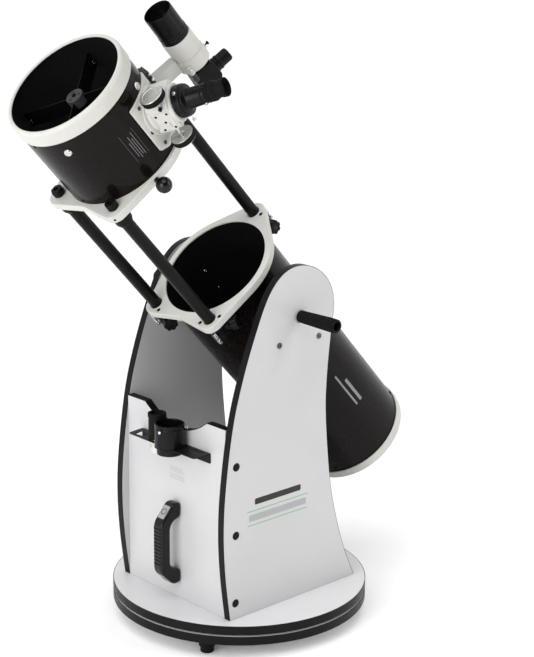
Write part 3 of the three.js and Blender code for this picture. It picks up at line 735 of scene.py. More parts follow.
# Accessory rack: a folded sheet with a flange screwed to the front board
RACK_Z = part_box("eyepiece_rack")[1].z * 1000
RACK_L, RACK_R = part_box("eyepiece_rack")[0].x * 1000, 106
CUP_X, CUP_Y = centre("extension_tube").x * 1000, (centre("extension_tube").y - axis_y) * 1000
SPARE_X, SPARE_Y = centre("spare_eyepiece").x * 1000, (centre("spare_eyepiece").y - axis_y) * 1000
shelf = [
    (RACK_L, FRONT - 0.4), (RACK_L + 5, -213), (CUP_X - 28, -214), (CUP_X - 21.5, -223),
    (CUP_X - 11.5, -230.6), (CUP_X + 11.5, -230.6), (CUP_X + 21.5, -223), (CUP_X + 28, -216),
    (RACK_R, -216), (RACK_R, FRONT - 0.4),
]
rack = Piece("rack_sheet", "rocker", "edging", ["eyepiece_rack"])
rack.prism(
    GROUND, loop(shelf, 6), RACK_Z - 1.6, RACK_Z, "edge_black",
    [circle(CUP_X, CUP_Y, 25.8, 60), circle(SPARE_X, SPARE_Y, 16.4, 48),
     loop([(-86, -184), (-81, -207), (-56, -204), (-57, -188)], 5),
     loop([(64, -180), (64, -186), (96, -186), (96, -180)], 2.6)],
    soft=0.35, steps=2,
)
rack.prism(
    GROUND @ ENDWAYS,
    loop(
        [(RACK_L, RACK_Z - 21), (RACK_R - 1, RACK_Z - 21), (RACK_R - 1, RACK_Z - 0.6),
         (RACK_L, RACK_Z - 0.6)],
        3,
    ),
    -FRONT + 0.3, -FRONT + 1.9, "edge_black", soft=0.35, steps=2,
)
for x in (-72, 78):
    socket_screw(
        rack, facing(moved(GROUND, x=x, y=FRONT - 1.9, z=RACK_Z - 12), "-y"), 3.8, 2.2, "plastic_black",
    )

cup = Piece("extension_barrel", "extension_tube", "anodised", ["extension_tube"])
cup_place = moved(GROUND, CUP_X, CUP_Y, RACK_Z)
cup.lathe(
    cup_place,
    [(24, -15), (25.2, -15), (25.2, -9), (24.9, -8), (25.2, -7), (25.2, 0.3), (29.5, 0.3), (29.5, 38),
     (28.9, 39), (29.5, 40), (29.5, 45.4), (28.6, 46.3), (26.6, 46), (26, 44), (26, 12), (24, 10), (24, -15)],
    "anodised", sides=96, soft=0.5,
)
screws = Piece("extension_screws", "extension_tube", "steel")
for angle, length in ((-77, 0.6), (60, 3.4)):
    thumbscrew(screws, moved(beside_axis(cup_place, 35, angle), z=29), 1.5, length, 3.2, 3.6)


def ribs(count, depth, low, high, least=0.0):
    def wave(a, r, z):
        return r - depth * (0.5 + 0.5 * cos(count * a)) if low < z < high and r > least else r
    return wave


spare = Piece("spare_ocular", "spare_eyepiece", "plastic", ["spare_eyepiece"])
spare_place = moved(GROUND, SPARE_X, SPARE_Y, RACK_Z)
spare.lathe(
    spare_place,
    [(13, -25.8), (15.9, -25.8), (15.9, -14), (15.3, -13), (15.3, -9), (15.9, -8), (15.9, 0.3), (0, 0.3),
     (0, -18), (13, -18), (13, -25.8)],
    "knob_silver",
)
spare.lathe(
    spare_place,
    [(0, 0.4), (17.0, 0.4), (17.2, 8), (16.4, 9), (16.4, 12), (17.2, 13), (17.2, 44), (18.5, 46),
     (18.5, 53), (17, 54), (14, 53.6), (13, 47), (0, 46)],
    "rubber_black", sides=144, soft=0.6, wave=ribs(36, 0.5, 15, 42),
)
spare.lathe(spare_place, [(0, 46.2), (9.5, 46.2), (8, 47.2), (0, 47.8)], "lens", sides=48, soft=0.3)

# ------------------------------------------------------------------ lower tube
SKIN = 117.5
ROD_AT = 137
PLUG_AT = 138.6
LOBES = (("top", 0, 1), ("right", 145, -1), ("left", -145, -1))
LOWER_RING = (95, 110)
UPPER_RING = (428, 443.5)
LOWER_TUBE = (-465, LOWER_RING[1] - 3.3)
UPPER_TUBE = (431, 631)
RING_R, EAR_R, EAR_AT = 124.5, 25, 136
RING_RIM = EAR_AT + EAR_R - 0.2


def tube_wall(name, body, node, z0, z1, seam_angle, enamel_name):
    wall = Piece(name, body, "gloss", [node])
    wall.lathe(TUBE, hollow(SKIN - 0.5, SKIN, z0, z1), enamel_name, sides=192, soft=0.15)
    wall.lathe(TUBE, hollow(SKIN - 1.5, SKIN - 0.55, z0, z1), "inside_black", sides=192, soft=0.15)
    wall.prism(
        facing(at_angle(seam_angle), "y"), rectangle(-6, 6, -z1 + 18, -z0 - 24, 0.8), SKIN - 0.3,
        SKIN + 0.14, enamel_name, soft=0.1, steps=1,
    )


def lobed_outline(samples=288):
    """A circle with a rounded ear over each rod, in the tube's x and y."""
    contact = acos((RING_R - EAR_R) / EAR_AT)
    tangent = atan2(EAR_R * sin(contact), EAR_AT + EAR_R * cos(contact))

    def reach(offset):
        turn = abs(offset)
        if turn > contact:
            return RING_R
        if turn > tangent:
            return RING_R / cos(contact - turn)
        across = EAR_AT * sin(turn)
        return EAR_AT * cos(turn) + sqrt(max(EAR_R ** 2 - across ** 2, 0))

    points = []
    for k in range(samples):
        a = 2 * pi * k / samples
        offsets = (a - radians(lobe[1]) for lobe in LOBES)
        r = max(reach(atan2(sin(o), cos(o))) for o in offsets)
        points.append(Vector((r * sin(a), r * cos(a))))
    return points[::-1]


def at_lobe(radius, angle):
    a = radians(angle)
    return radius * sin(a), radius * cos(a)


def lobed_ring(name, body, node, z0, z1, lip_r, lip_at_top, rod_hole, plug_turns):
    """A cast ring round the tube with an inward lip over the tube's end."""
    step = SKIN + 0.3 - lip_r
    if lip_at_top:
        bore = [(step, z0), (step, z1 - 3), (0, z1 - 3), (0, z1 - 0.7), (0.25, z1 - 0.25), (0.7, z1)]
    else:
        bore = [(0.7, z0), (0.25, z0 + 0.25), (0, z0 + 0.7), (0, z0 + 2.7), (step, z0 + 2.7), (step, z1)]
    holes = [(circle(0, 0, lip_r, 160), bore)]
    holes += [circle(*at_lobe(ROD_AT, angle), rod_hole, 40) for _, angle, _ in LOBES]
    holes += [
        circle(*at_lobe(PLUG_AT, angle + turn), 4.1, 24)
        for _, angle, _ in LOBES for turn in plug_turns
    ]
    made = Piece(name, body, "powder", [node])
    made.prism(TUBE, lobed_outline(), z0, z1, "powder_white", holes, soft=1.5, steps=4)
    for _, angle, _ in LOBES:
        for turn in plug_turns:
            plug = moved(at_angle(angle + turn), y=PLUG_AT, z=z1 - 6)
            made.lathe(
                plug, [(0, -5), (4.0, -5), (4.0, 4.6), (3.6, 5), (1.9, 5), (1.9, 2.5), (0, 2.5)],
                "plastic_gloss", sides=24, soft=0.3,
            )
    return made


tube_wall("lower_shell", "tube", "lower_tube", *LOWER_TUBE, 180, "lower_black")
lobed_ring("lower_ring_cast", "tube", "lower_ring", *LOWER_RING, 111.3, True, 12.6, (-8.7, 8.7))

rear = Piece("rear_ring_cast", "tube", "powder", ["rear_ring"])
rear.lathe(
    TUBE,
    [(105, -470), (118, -470), (121, -467), (120.6, -448), (SKIN + 0.3, -448),
     (SKIN + 0.3, LOWER_TUBE[0] - 0.3), (105, LOWER_TUBE[0] - 0.3), (105, -470)],
    "powder_white", sides=192, soft=1.2,
)
for k in range(6):
    socket_screw(rear, on_tube(30 + 60 * k, 120.3, -458), 2.8, 1.5)

cell_screws = Piece("cell_screws", "tube", "plastic")
for angle in (33, 153, 273):
    socket_screw(cell_screws, on_tube(angle, SKIN - 0.1, -438), 4.2, 2.2, "plastic_black")

inner = Piece("tube_inner_screws", "tube", "steel")
for side in (90, -90):
    for along in (-28, 28):
        for turn in (-13, 13):
            socket_screw(inner, on_tube(side + turn, SKIN - 1.6, along, "-y"), 3.6, 2.0)

# Mirror, its cell and the collimation knobs
cell = Piece("mirror_cell", "tube", "casting", ["primary_cell"])
CELL_ANGLES = (0, 120, 240)
CELL_LOW, CELL_HIGH = -464.6, -453.1
KNOB_AT = 72
cell.lathe(TUBE, hollow(104, 115.2, CELL_LOW, CELL_HIGH), "cell_grey", sides=144, soft=1.0)
cell.lathe(TUBE, hollow(8, 26, CELL_LOW, CELL_HIGH), "cell_grey", soft=1.2)
for angle in CELL_ANGLES:
    arm = at_angle(angle)
    web = loop([(-12.9, 24.5), (12.9, 24.5), (12.9, 105), (-12.9, 105)], 1.5)
    cell.prism(
        arm, web, CELL_LOW + 0.3, CELL_HIGH - 0.3, "cell_grey", [circle(0, KNOB_AT, 3.4, 24)], soft=1.2,
    )
    for x in (-10.4, 7.4):
        cell.prism(
            arm, rectangle(x, x + 3, 27, 103, 1), CELL_HIGH - 1, CELL_HIGH + 4.5, "cell_grey", soft=0.8,
        )
    cell.lathe(
        moved(arm, y=48), [(0, CELL_LOW + 3), (9, CELL_LOW + 3), (9, -433.4), (7.8, -432.1), (0, -432.1)],
        "nylon_white", sides=40, soft=0.6,
    )
glass = Piece("main_mirror", "tube", "mirror", ["primary_mirror"])
glass.lathe(
    TUBE, [(0, -431.7), (100.6, -431.7), (101.5, -430.8), (101.5, -409.2), (100.4, -408), (0, -408)],
    "mirror", sides=160, soft=0.5,
)
glass.lathe(TUBE, hollow(2.6, 5, -407.9, -407.7), "print_black", sides=40, soft=0)


def knurled(count, depth, least):
    def wave(a, r, z):
        return r - depth * (0.5 + 0.5 * cos(count * a)) if r > least else r
    return wave


for number, angle in enumerate(CELL_ANGLES, 1):
    knob = Piece(
        f"collimation_thumb_{number}", f"collimation_knob_{number}", "steel",
        [f"collimation_knob_{number}"],
    )
    knob.lathe(
        moved(at_angle(angle), y=KNOB_AT),
        [(0, -479.4), (3, -479.4), (3.4, -480), (9, -480), (10.5, -478.4), (10.5, -467.4), (9.4, -466),
         (3.1, -465.4), (3.1, -450), (0, -450)],
        "steel", sides=144, soft=0.5, wave=knurled(36, 0.6, 10.2),
    )

# Altitude discs, their saddle blocks and the tension handles
for side, sign in (("right", 1), ("left", -1)):
    disc = Piece(f"altitude_disc_{side}", "tube", "plastic", [f"altitude_bearing_{side}"])
    out = facing(TUBE, "x" if sign > 0 else "-x")
    disc.lathe(
        out,
        [(7.6, 120.5), (56, 120.5), (60, 122.2), (60, 143), (50, 143), (50, 140.5), (22, 140.5), (22, 143),
         (7.6, 143), (7.6, 120.5)],
        "plastic_black", sides=160, soft=0.9,
    )
    for k in range(8):
        spoke = turned(out, 45 * k + 22.5)
        disc.prism(spoke, rectangle(20.5, 51.5, -1.5, 1.5, 0.5), 138, 142.2, "plastic_black")
    saddle = loop([(-44, -44), (44, -44), (44, 44), (-44, 44)], 8, 5)

    def hug(p, sign=sign):
        return Vector((sign * (sqrt((SKIN + 0.4) ** 2 - p.x ** 2) if p.z < 118 else p.z), p.x, p.y))

    disc.prism(
        TUBE, saddle, 100, 120.6, "plastic_black", soft=0, slices={"x": [-33, -22, -11, 0, 11, 22, 33]},
        bend=hug,
    )
    grip = Piece(f"tension_grip_{side}", f"tension_handle_{side}", "rubber", [f"tension_handle_{side}"])
    start = SIDE_OUT + 0.5
    grip.lathe(
        out,
        [(5.9, start), (13.9, start), (13.9, start + 1.6), (12.2, start + 2.2), (5.9, start + 2.2),
         (5.9, start)],
        "grey_washer_and_painted_highlight", soft=0.5,
    )
    grip.lathe(
        out,
        [(0, 125.2), (5.9, 125.2), (5.9, start + 2.3), (11.8, start + 2.3), (11.8, 168), (12.2, 172),
         (12.9, 200), (13.9, 244), (13.8, 258.5), (13.2, 262.6), (9.4, 262.8), (8.8, 261), (8.8, 250),
         (0, 250)],
        "rubber_black", sides=192, soft=0.9, wave=ribs(16, 1.5, 171, 262.9, 9.5),
    )

# ------------------------------------------------------------------ clamps, rods and screws
for lobe, angle, side in LOBES:
    place = at_angle(angle)
    rod_place = moved(place, y=ROD_AT)
    clamp = Piece(f"clamp_{lobe}", "tube", "plastic", [f"rod_clamp_{lobe}"])
    clamp.lathe(
        rod_place,
        [(12.4, 62), (17.2, 62), (18.7, 64), (18.7, 70), (17.6, 71), (17.6, 86), (18.7, 87), (18.7, 94.6),
         (12.4, 94.6), (12.4, 62)],
        "plastic_black", sides=96, soft=0.6,
    )
    boss = facing(moved(place, y=133, z=78), "x" if side > 0 else "-x")
    clamp.lathe(
        boss, [(5, 14), (10, 14), (10, 25.6), (9, 27), (5, 27), (5, 14)], "plastic_black", sides=48,
        soft=0.8,
    )
    clamp.prism(
        boss, rectangle(-14, 14, -9, 9, 3), 15, 19.5, "plastic_black", [circle(0, 0, 6, 30)], soft=1,
    )
    spring = moved(place, y=ROD_AT + 22.6)
    coils = [
        (3.4 * cos(a), 3.4 * sin(a), 70.5 + 22.5 * a / (2 * pi * 5))
        for a in (2 * pi * 5 * k / 120 for k in range(121))
    ]
    clamp.sweep(spring, coils, 0.8, "steel", 8)
    clamp.lathe(spring, solid(1.7, 62.2, 94.4), "zinc", sides=20, soft=0.3)
    clamp.prism(spring, hexagon(4.3), 62.4, 66.6, "steel")
    clamp.lathe(spring, solid(4.3, 67.2, 68.4), "steel", sides=30, soft=0.2)

    knob = Piece(f"clamp_star_{lobe}", f"clamp_knob_{lobe}", "plastic", [f"clamp_knob_{lobe}"])
    knob.prism(boss, star(14.4, 7, 2.6), 29, 44.9, "plastic_black", soft=2.4, steps=4)
    knob.lathe(
        boss, [(0, 20.2), (3.9, 20.2), (3.9, 27.4), (7.8, 28.4), (8.4, 30), (0, 30)], "plastic_black",
        sides=48,
    )
    knob.lathe(boss, [(0, 44.6), (5.2, 44.6), (4.6, 45.0), (0, 45.0)], "plastic_gloss", sides=40, soft=0.15)

    rod = Piece(f"rod_{lobe}", "upper", "rod", [f"truss_rod_{lobe}"])
    rod.lathe(
        rod_place, [(0, 48.2), (9.6, 48.2), (10.8, 48), (11.8, 49), (11.8, 57), (11.4, 58), (0, 58)],
        "plastic_black", soft=0.5,
    )
    rod.lathe(rod_place, solid(12, 57.5, 404), "rod_black", sides=96, soft=0.5)
    rod.lathe(
        rod_place,
        [(0, 401.5), (13.2, 401.5), (14, 404), (16.9, 410.6), (17, 412.4), (17, 424.6), (16.6, 427.7),
         (0, 427.7)],
        "plastic_black", sides=96, soft=1.4,
    )

    screw = Piece(f"rod_bolt_{lobe}", f"rod_screw_{lobe}", "plastic", [f"rod_screw_{lobe}"])
    face = UPPER_RING[1] + 0.4
    screw.lathe(
        rod_place, [(0, face), (9.6, face), (9.9, face + 1.2), (0, face + 1.2)], "anodised", sides=48,
        soft=0.3,
    )
    screw.prism(
        rod_place, loop(hexagon(12.5), 3.0, 4), face + 1.2, face + 14.8, "plastic_black",
        [(
             circle(0, 0, 4.6, 32),
             [(0.6, face + 1.2), (-2, face + 1.3), (-4.5, face + 11.5), (0, face + 11.6), (0, face + 14.2),
              (0.5, face + 14.8)],
         )],
        soft=1.7, steps=4,
    )

# ------------------------------------------------------------------ upper tube
tube_wall("upper_shell", "upper", "upper_tube", *UPPER_TUBE, 200, "upper_black")
upper_ring = lobed_ring("upper_ring_cast", "upper", "upper_ring", *UPPER_RING, 113, False, 4.4, ())
for _, angle, _ in LOBES:
    rim = on_tube(angle, RING_RIM, sum(UPPER_RING) / 2 - 0.25)
    socket_screw(upper_ring, rim, 2.4, 1.2, "plastic_black")
tube_screws = Piece("upper_tube_screws", "upper", "plastic")
for angle, along in ((180, 450), (60, 450), (-60, 450), (-177, 596), (-57, 596), (100, 596)):
    socket_screw(tube_screws, on_tube(angle, SKIN - 0.1, along), 3.0, 1.5, "plastic_black")

front = Piece("front_ring_rolled", "upper", "powder", ["front_ring"])
front.lathe(
    TUBE,
    [(SKIN + 0.3, 603), (119.6, 603), (119.8, 604), (119.8, 628.6), (117.4, 634.2), (112.8, 634.5),
     (111.4, 633.4), (111.2, 631.6), (SKIN + 0.3, 631.6), (SKIN + 0.3, 603)],
    "powder_white", sides=200, soft=1.6, steps=4,
)

ball = Piece("guide_ball", "upper", "plastic", ["guide_knob"])
ball_place = on_tube(105, RING_R + 0.9, sum(UPPER_RING) / 2)
ball.lathe(
    ball_place,
    [(0, 0), (6.0, 0), (5.4, 3), (5.4, 12), (7.6, 14.2), (11.4, 16.8), (14.2, 21), (15, 26), (14.2, 31),
     (11.6, 36), (7, 39.8), (3, 40.9), (0, 41)],
    "plastic_gloss", soft=2.2,
)

# Spider, hub and diagonal
spider = Piece("spider_vanes", "upper", "anodised", ["spider"])
spider.lathe(
    TUBE, [(4, 582), (15.6, 582), (17, 583.4), (17, 601), (15.8, 602), (4, 602), (4, 582)], "cell_grey",
    soft=0.5,
)
for angle in (60, 150, 240, 330):
    arm = at_angle(angle)
    spider.prism(facing(arm, "x"), rectangle(-598, -566, 15.5, 114.6, 1.0), -0.6, 0.6, "anodised", soft=0.2)
    stud = facing(moved(arm, z=578), "y")
    spider.lathe(
        stud, [(0, 107), (3.6, 107), (3.6, 109), (2.9, 109.4), (2.9, 120), (0, 120)], "steel", sides=24,
        soft=0.3,
    )
    spider.lathe(
        stud,
        [(0, SKIN + 0.4), (7.4, SKIN + 0.4), (7.5, SKIN + 1.6), (6.2, SKIN + 4.2), (2, SKIN + 4.4),
         (1.6, SKIN + 3.8), (0, SKIN + 3.8)],
        "knob_silver", sides=48, soft=0.6,
    )
for k in range(3):
    spot = moved(TUBE, x=10.5 * cos(2.1 * k + 0.5), y=10.5 * sin(2.1 * k + 0.5), z=601.8)
    socket_screw(spider, spot, 2.6, 2.2, "cell_grey")

FOCUS_ANGLE, FOCUS_ALONG = 60, 517
TILT = Matrix.Rotation(-radians(FOCUS_ANGLE), 4, "Z") @ Matrix.Rotation(radians(45), 4, "X")
slab = moved(TUBE, z=FOCUS_ALONG) @ TILT


def ellipse(radius, grow=0.0, sides=96):
    return [
        Vector(((radius + grow) * cos(a), (radius * sqrt(2) + grow) * sin(a)))
        for a in (2 * pi * k / sides for k in range(sides))
    ]


flat = Piece("diagonal_glass", "diagonal", "mirror", ["secondary_mirror"])
flat.prism(
    slab, ellipse(24.6), 0.05, 5.6, "mirror", soft=0.3, bend=lambda p: Vector((p.x, p.y + p.z - 0.05, p.z)),
)
holder = Piece("diagonal_holder", "diagonal", "anodised", ["secondary_holder"])
holder.prism(slab, ellipse(22.8), 9.4, 12.6, "anodised", bend=lambda p: Vector((p.x, p.y + p.z, p.z)))
holder.lathe(
    TUBE,
    [(0, 546), (22.6, 546), (23.8, 547), (23.8, 558), (11, 560), (11, 581.6), (3.4, 581.6), (3.4, 604),
     (2.6, 605.8), (0, 605.8)],
    "anodised", soft=0.8,
)

# ------------------------------------------------------------------ focuser
FOCUSER = mounted_at(FOCUS_ANGLE, FOCUS_ALONG)
WRAP_R = 120


def wrapped(p):
    """Bends a plate round the tube: x stays along it and z is the radius."""
    a = p.y / WRAP_R
    return Vector((p.x, p.z * sin(a), p.z * cos(a)))


def every(low, high, step):
    return [low + step * k for k in range(int((high - low) / step) + 1)]


body = Piece("focuser_casting", "upper", "powder", ["focuser_body"])
plate = [(-62, -28), (-51, -50), (52, -50), (52, 54), (-51, 54), (-62, 32)]
bore = [circle(0, 0, 28.6, 60)]
body.prism(
    FOCUSER, loop(plate, 4), SKIN + 0.4, 122, "powder_white", bore, soft=1.2,
    slices={"y": every(-45, 50, 5)}, bend=wrapped,
)
body.prism(
    FOCUSER, circle(0, 0, 46, 96), 120, 124.8, "powder_white", bore, soft=2.4, steps=5,
    slices={"y": every(-45, 45, 5)}, bend=wrapped,
)
body.lathe(
    FOCUSER,
    [(28.4, 118), (40, 118), (39, 124), (35.4, 128), (34.4, 132), (34.4, 158.5), (35.4, 160), (35.4, 166.4),
     (34, 168), (28.4, 168), (28.4, 118)],
    "powder_white", sides=144, soft=1.6,
)
block = loop([(-33.5, 4), (-33.5, 28), (-28, 33.8), (26, 33.8), (33.5, 27), (33.5, 4)], 3)
body.prism(FOCUSER, block, 113, 162.5, "powder_white", soft=2.4, steps=4)
block = loop([(-24, -35.6), (24, -35.6), (33, -30), (33, -8), (-33, -8), (-33, -30)], 2.5)
body.prism(FOCUSER, block, 114, 158, "powder_white", soft=2.2, steps=4)
cover = facing(moved(FOCUSER, y=33.6), "y")
body.prism(cover, loop([(-29, -159), (15, -159), (15, -127.5), (-29, -127.5)], 4), 0, 1.3, "powder_white")
for x, z in ((9.6, 132.4), (9.6, 154.3), (-7.4, 142.8), (-23.2, 132), (-23.2, 154.3)):
    body.lathe(
        moved(cover, x=x, y=-z, z=1.2), [(0, 0), (2.5, 0), (2.5, 0.5), (1.3, 0.6), (0, 0.3)],
        "inside_black", sides=24, soft=0.2,
    )
body.prism(cover, rectangle(-20, -9, -149.4, -148.6, 0.3), 1.1, 1.5, "inside_black", soft=0.1)
tension_screw = moved(cover, x=26.5, y=-153)
thumbscrew(body, tension_screw, 2.2, 3, 3.8, 4.2, "plastic_black")
body.lathe(moved(tension_screw, z=2.2), hollow(2.3, 4.3, 0, 1), "steel", sides=32, soft=0.2)
for x, arc in ((40, 35), (-48, 36), (25, -38), (-48, -38), (-11.8, 44.5)):
    spot = FOCUSER @ Matrix.Rotation(-arc / WRAP_R, 4, "X")
    body.lathe(
        moved(spot, x=x, z=121.2), [(0, 1.0), (1.6, 1.0), (2, 2), (3.6, 2), (3.8, 0), (0, 0)], "cell_grey",
        sides=32, soft=0.3,
    )

wheels = Piece("focus_wheels", "focus_knobs", "steel", ["focus_knobs"])
axle = basis(around(FOCUS_ANGLE), outwards(FOCUS_ANGLE), SKY, centre("focus_knobs"))
wheels.lathe(axle, solid(3, -50, 50), "knob_silver", sides=36, soft=0.3)
for way in ("z", "-z"):
    end = facing(axle, way)
    wheels.lathe(
        end, [(20.6, 46.2), (22.5, 45.9), (23, 46.6), (23, 56), (22.4, 56.8), (20.6, 56.8), (20.6, 46.2)],
        "rubber_black", sides=216, soft=0.5, wave=knurled(54, 0.55, 22.6),
    )
    wheels.lathe(
        end,
        [(0, 47.4), (8, 47.4), (9, 45.2), (21.6, 45.2), (22.2, 46), (22.2, 57.2), (21.4, 57.9),
         (17.6, 57.9), (17, 57.3), (0, 57.1)],
        "knob_silver", sides=144,
    )
    for k in range(5):
        wheels.lathe(
            moved(turned(facing(end, "-z"), 72 * k + 20), x=14.6, z=-46),
            [(0, 0), (2.6, 0), (2.3, 0.7), (0, 0.8)], "steel", sides=24, soft=0.2,
        )

draw = Piece("draw_barrel", "drawtube", "anodised", ["focuser_drawtube"])
draw.lathe(FOCUSER, hollow(25.7, 28, 108, 168.6), "steel", sides=120)
draw.lathe(
    FOCUSER,
    [(25.7, 168.6), (29.2, 168.6), (30, 169.6), (30, 172.4), (29.2, 173.4), (29.2, 174.4), (30, 175.4),
     (30, 181.4), (28.8, 183), (25.7, 183), (25.7, 168.6)],
    "anodised", sides=216, soft=0.6, wave=knurled(72, 0.4, 29.7),
)
for angle, length in ((23, 0.4), (166, 8.5)):
    thumbscrew(draw, moved(beside_axis(FOCUSER, 178.2, angle), z=29.4), 1.7, length, 3.4, 4.2)

adapter = Piece("adapter_barrel", "adapter", "anodised", ["eyepiece_adapter"])
adapter.lathe(
    FOCUSER,
    [(16.3, 150), (25.2, 150), (25.2, 183.3), (28.5, 183.3), (28.5, 186.4), (27.2, 187.6), (20.4, 189.4),
     (19.2, 191), (18.4, 197), (18, 218), (17.2, 218.8), (17.2, 219.6), (18, 220.4), (18, 226.4),
     (17.4, 227), (16.3, 227), (16.3, 150)],
    "anodised", sides=144, soft=0.7,
)
thumbscrew(adapter, moved(beside_axis(FOCUSER, 223.4, 115), z=17.4), 1.6, 0.8, 2.9, 3.2)

ocular = Piece("ocular", "eyepiece", "rubber", ["eyepiece"])
ocular.lathe(FOCUSER, solid(15.8, 200, 227.3), "steel", sides=96)
ocular.lathe(
    FOCUSER,
    [(0, 227.4), (18.0, 227.4), (18.4, 228.2), (18.4, 230.6), (17.2, 231.4), (17.2, 233.2), (18.6, 234.2),
     (18.9, 242.2), (17.4, 243.6), (17.2, 245.4), (15.8, 246.6), (15.4, 250), (15.8, 253), (16.8, 257),
     (17.4, 264), (16.9, 265.4), (16.0, 265), (14.6, 258), (12.6, 253.4), (11.4, 252.8), (0, 252.8)],
    "rubber_black", sides=160, soft=0.7, wave=ribs(20, 0.9, 234.4, 242.2),
)
ocular.lathe(
    FOCUSER, [(0, 252), (11.3, 252), (11.3, 254.4), (9.6, 255.4), (8.2, 254), (0, 253.6)], "plastic_black",
)
ocular.lathe(FOCUSER, [(0, 253), (8.2, 253), (7.2, 254.2), (0, 254.7)], "lens", sides=48, soft=0.3)

# ------------------------------------------------------------------ finder
FINDER_ANGLE, AXIS_OUT = 18, 209
FINDER = mounted_at(FINDER_ANGLE, 0)
sight = facing(moved(FINDER, z=AXIS_OUT), "x")
bracket = Piece("finder_mount", "upper", "powder", ["finder_bracket"])
bracket.prism(
    FINDER, rectangle(486, 546, -15, 15, 3), SKIN + 0.4, 124, "cell_grey", soft=0.8,
    slices={"y": every(-12, 12, 4)}, bend=wrapped,
)
bracket.prism(FINDER, rectangle(487, 545, -13.6, 13.6, 2), 122.6, 128.9, "cell_grey", soft=1.4)
bracket.prism(
    facing(FINDER, "-y"), loop([(491.4, 127), (521, 127), (520, AXIS_OUT - 29), (492, AXIS_OUT - 29)], 3),
    -11.6, 11.6, "powder_white", soft=2.2, steps=4,
)
bracket.lathe(
    sight, [(29.9, 484), (30.8, 484), (31.2, 485), (31.0, 509), (30.2, 512), (29.9, 512), (29.9, 484)],
    "powder_white", sides=144, soft=0.8,
)
socket_screw(bracket, facing(moved(FINDER, x=537, y=13.4, z=126), "y"), 2.6, 1.6)
thumbscrew(bracket, facing(moved(FINDER, x=528, y=13.4, z=126), "y"), 1.6, 2, 3.2, 3.6)
for angle, length, finish in ((180, 4.4, "plastic_black"), (56, 1.2, "steel"), (-56, 1.2, "steel")):
    spot = beside_axis(sight, 496, angle)
    bracket.lathe(moved(spot, z=31), solid(4.4, 0, 2.6), "powder_white", sides=40)
    thumbscrew(bracket, moved(spot, z=33), 1.6, length, 3.4, 3.8, finish)
plunger = moved(turned(sight, 52), x=32.6)
bracket.lathe(
    plunger, [(0, 466), (3.4, 466), (4.8, 467.4), (4.8, 485), (0, 485)], "cell_grey", sides=48, soft=0.6,
    wave=knurled(24, 0.3, 4.6),
)
bracket.lathe(
    plunger, [(0, 484), (5.6, 484), (5.6, 497), (4.4, 500), (0, 501)], "powder_white", sides=40, soft=1,
)

scope = Piece("finder_barrel", "upper", "powder", ["finder_tube"])
scope.lathe(
    sight, [(0, 484.5), (26.6, 484.5), (27.2, 488), (28.4, 495), (29.5, 500), (29.5, 551.8), (0, 551.8)],
    "powder_white", sides=144, soft=1.6,
)
scope.lathe(
    sight, [(0, 477), (23.4, 477), (26.4, 480), (26.4, 484.6), (0, 484.6)], "plastic_black", sides=96,
    soft=1.2,
)

shade = Piece("finder_shade", "finder_cell", "anodised", ["finder_dew_shield"])
shade.lathe(
    sight,
    [(24.7, 552.4), (27.6, 552.4), (28.3, 553), (28.3, 559.4), (27.6, 560), (27.6, 561.6), (28.3, 562.2),
     (28.3, 567), (27.5, 568), (27.5, 612.6), (26.9, 614.3), (26.3, 614.3), (25.2, 606), (24.7, 604),
     (24.7, 552.4)],
    "anodised", sides=216, soft=0.5, wave=knurled(72, 0.3, 28.1),
)
shade.lathe(
    sight, [(0, 580), (24.6, 580), (24.6, 590.8), (22.6, 591.6), (22.2, 585), (0, 585)], "anodised",
    sides=96,
)
shade.lathe(sight, [(0, 585.1), (22, 585.1), (16, 587), (8, 588), (0, 588.4)], "lens", sides=96, soft=3)

prism_box = Piece("finder_diagonal", "upper", "plastic", ["finder_prism"])
flank = facing(moved(FINDER, z=AXIS_OUT), "-y")
side_view = [(476.6, -22), (476.6, 20), (463, 25), (437, 25), (417, 8), (417, -6), (431, -24)]
prism_box.prism(flank, loop(side_view, 4, 4), -20.8, 20.8, "plastic_black", soft=2.6, steps=4)
for x, y in ((468, -14), (464, 15), (434, 16)):
    for way, side in (("z", 20.7), ("-z", -20.7)):
        socket_screw(prism_box, facing(moved(flank, x=x, y=y, z=side), way), 1.6, 0.7, "plastic_gloss")
prism_eye = moved(FINDER, x=449.5, z=AXIS_OUT)
prism_box.lathe(
    prism_eye,
    [(0, 15), (14.4, 15), (14.4, 29), (13.6, 30), (13.6, 32), (14.4, 33), (14.4, 36), (13.1, 38),
     (13.1, 56), (12.2, 58.6), (10.8, 59.8), (9.4, 59.6), (8.2, 56), (0, 56)],
    "plastic_black", sides=128, soft=0.6, wave=ribs(40, 0.3, 39, 55),
)
prism_box.lathe(prism_eye, [(0, 55.6), (8, 55.6), (7, 56.8), (0, 57.2)], "lens", sides=40, soft=0.3)

# ------------------------------------------------------------------ plain marks in place of labels
marks = Piece("panel_mark", "rocker", "melamine")
panel = moved(GROUND, x=SIDE_OUT) @ SIDEWAYS
for y0, y1, z in ((-129, 34, 284.9), (-127, 31.5, 255.8)):
    marks.prism(panel, rectangle(y0, y1, z, z + 1.3), 0.02, 0.14, "print_green", soft=0.0)
marks.prism(panel, rectangle(-109, 14, 297, 309.5, 3), 0.02, 0.14, "print_black", soft=0.0)
marks.prism(panel, rectangle(-124, 29, 264.5, 278, 3), 0.02, 0.12, "label_grey", soft=0.0)
patch = Piece("front_mark", "rocker", "melamine")
for low, x_end in ((344, 22), (340, 26), (336, 24), (329, 28), (325, 26), (321, 30)):
    patch.prism(
        GROUND @ ENDWAYS, rectangle(-17, x_end, low, low + 1.2, 0.3), -FRONT + 0.02, -FRONT + 0.1,
        "label_grey", soft=0.0,
    )


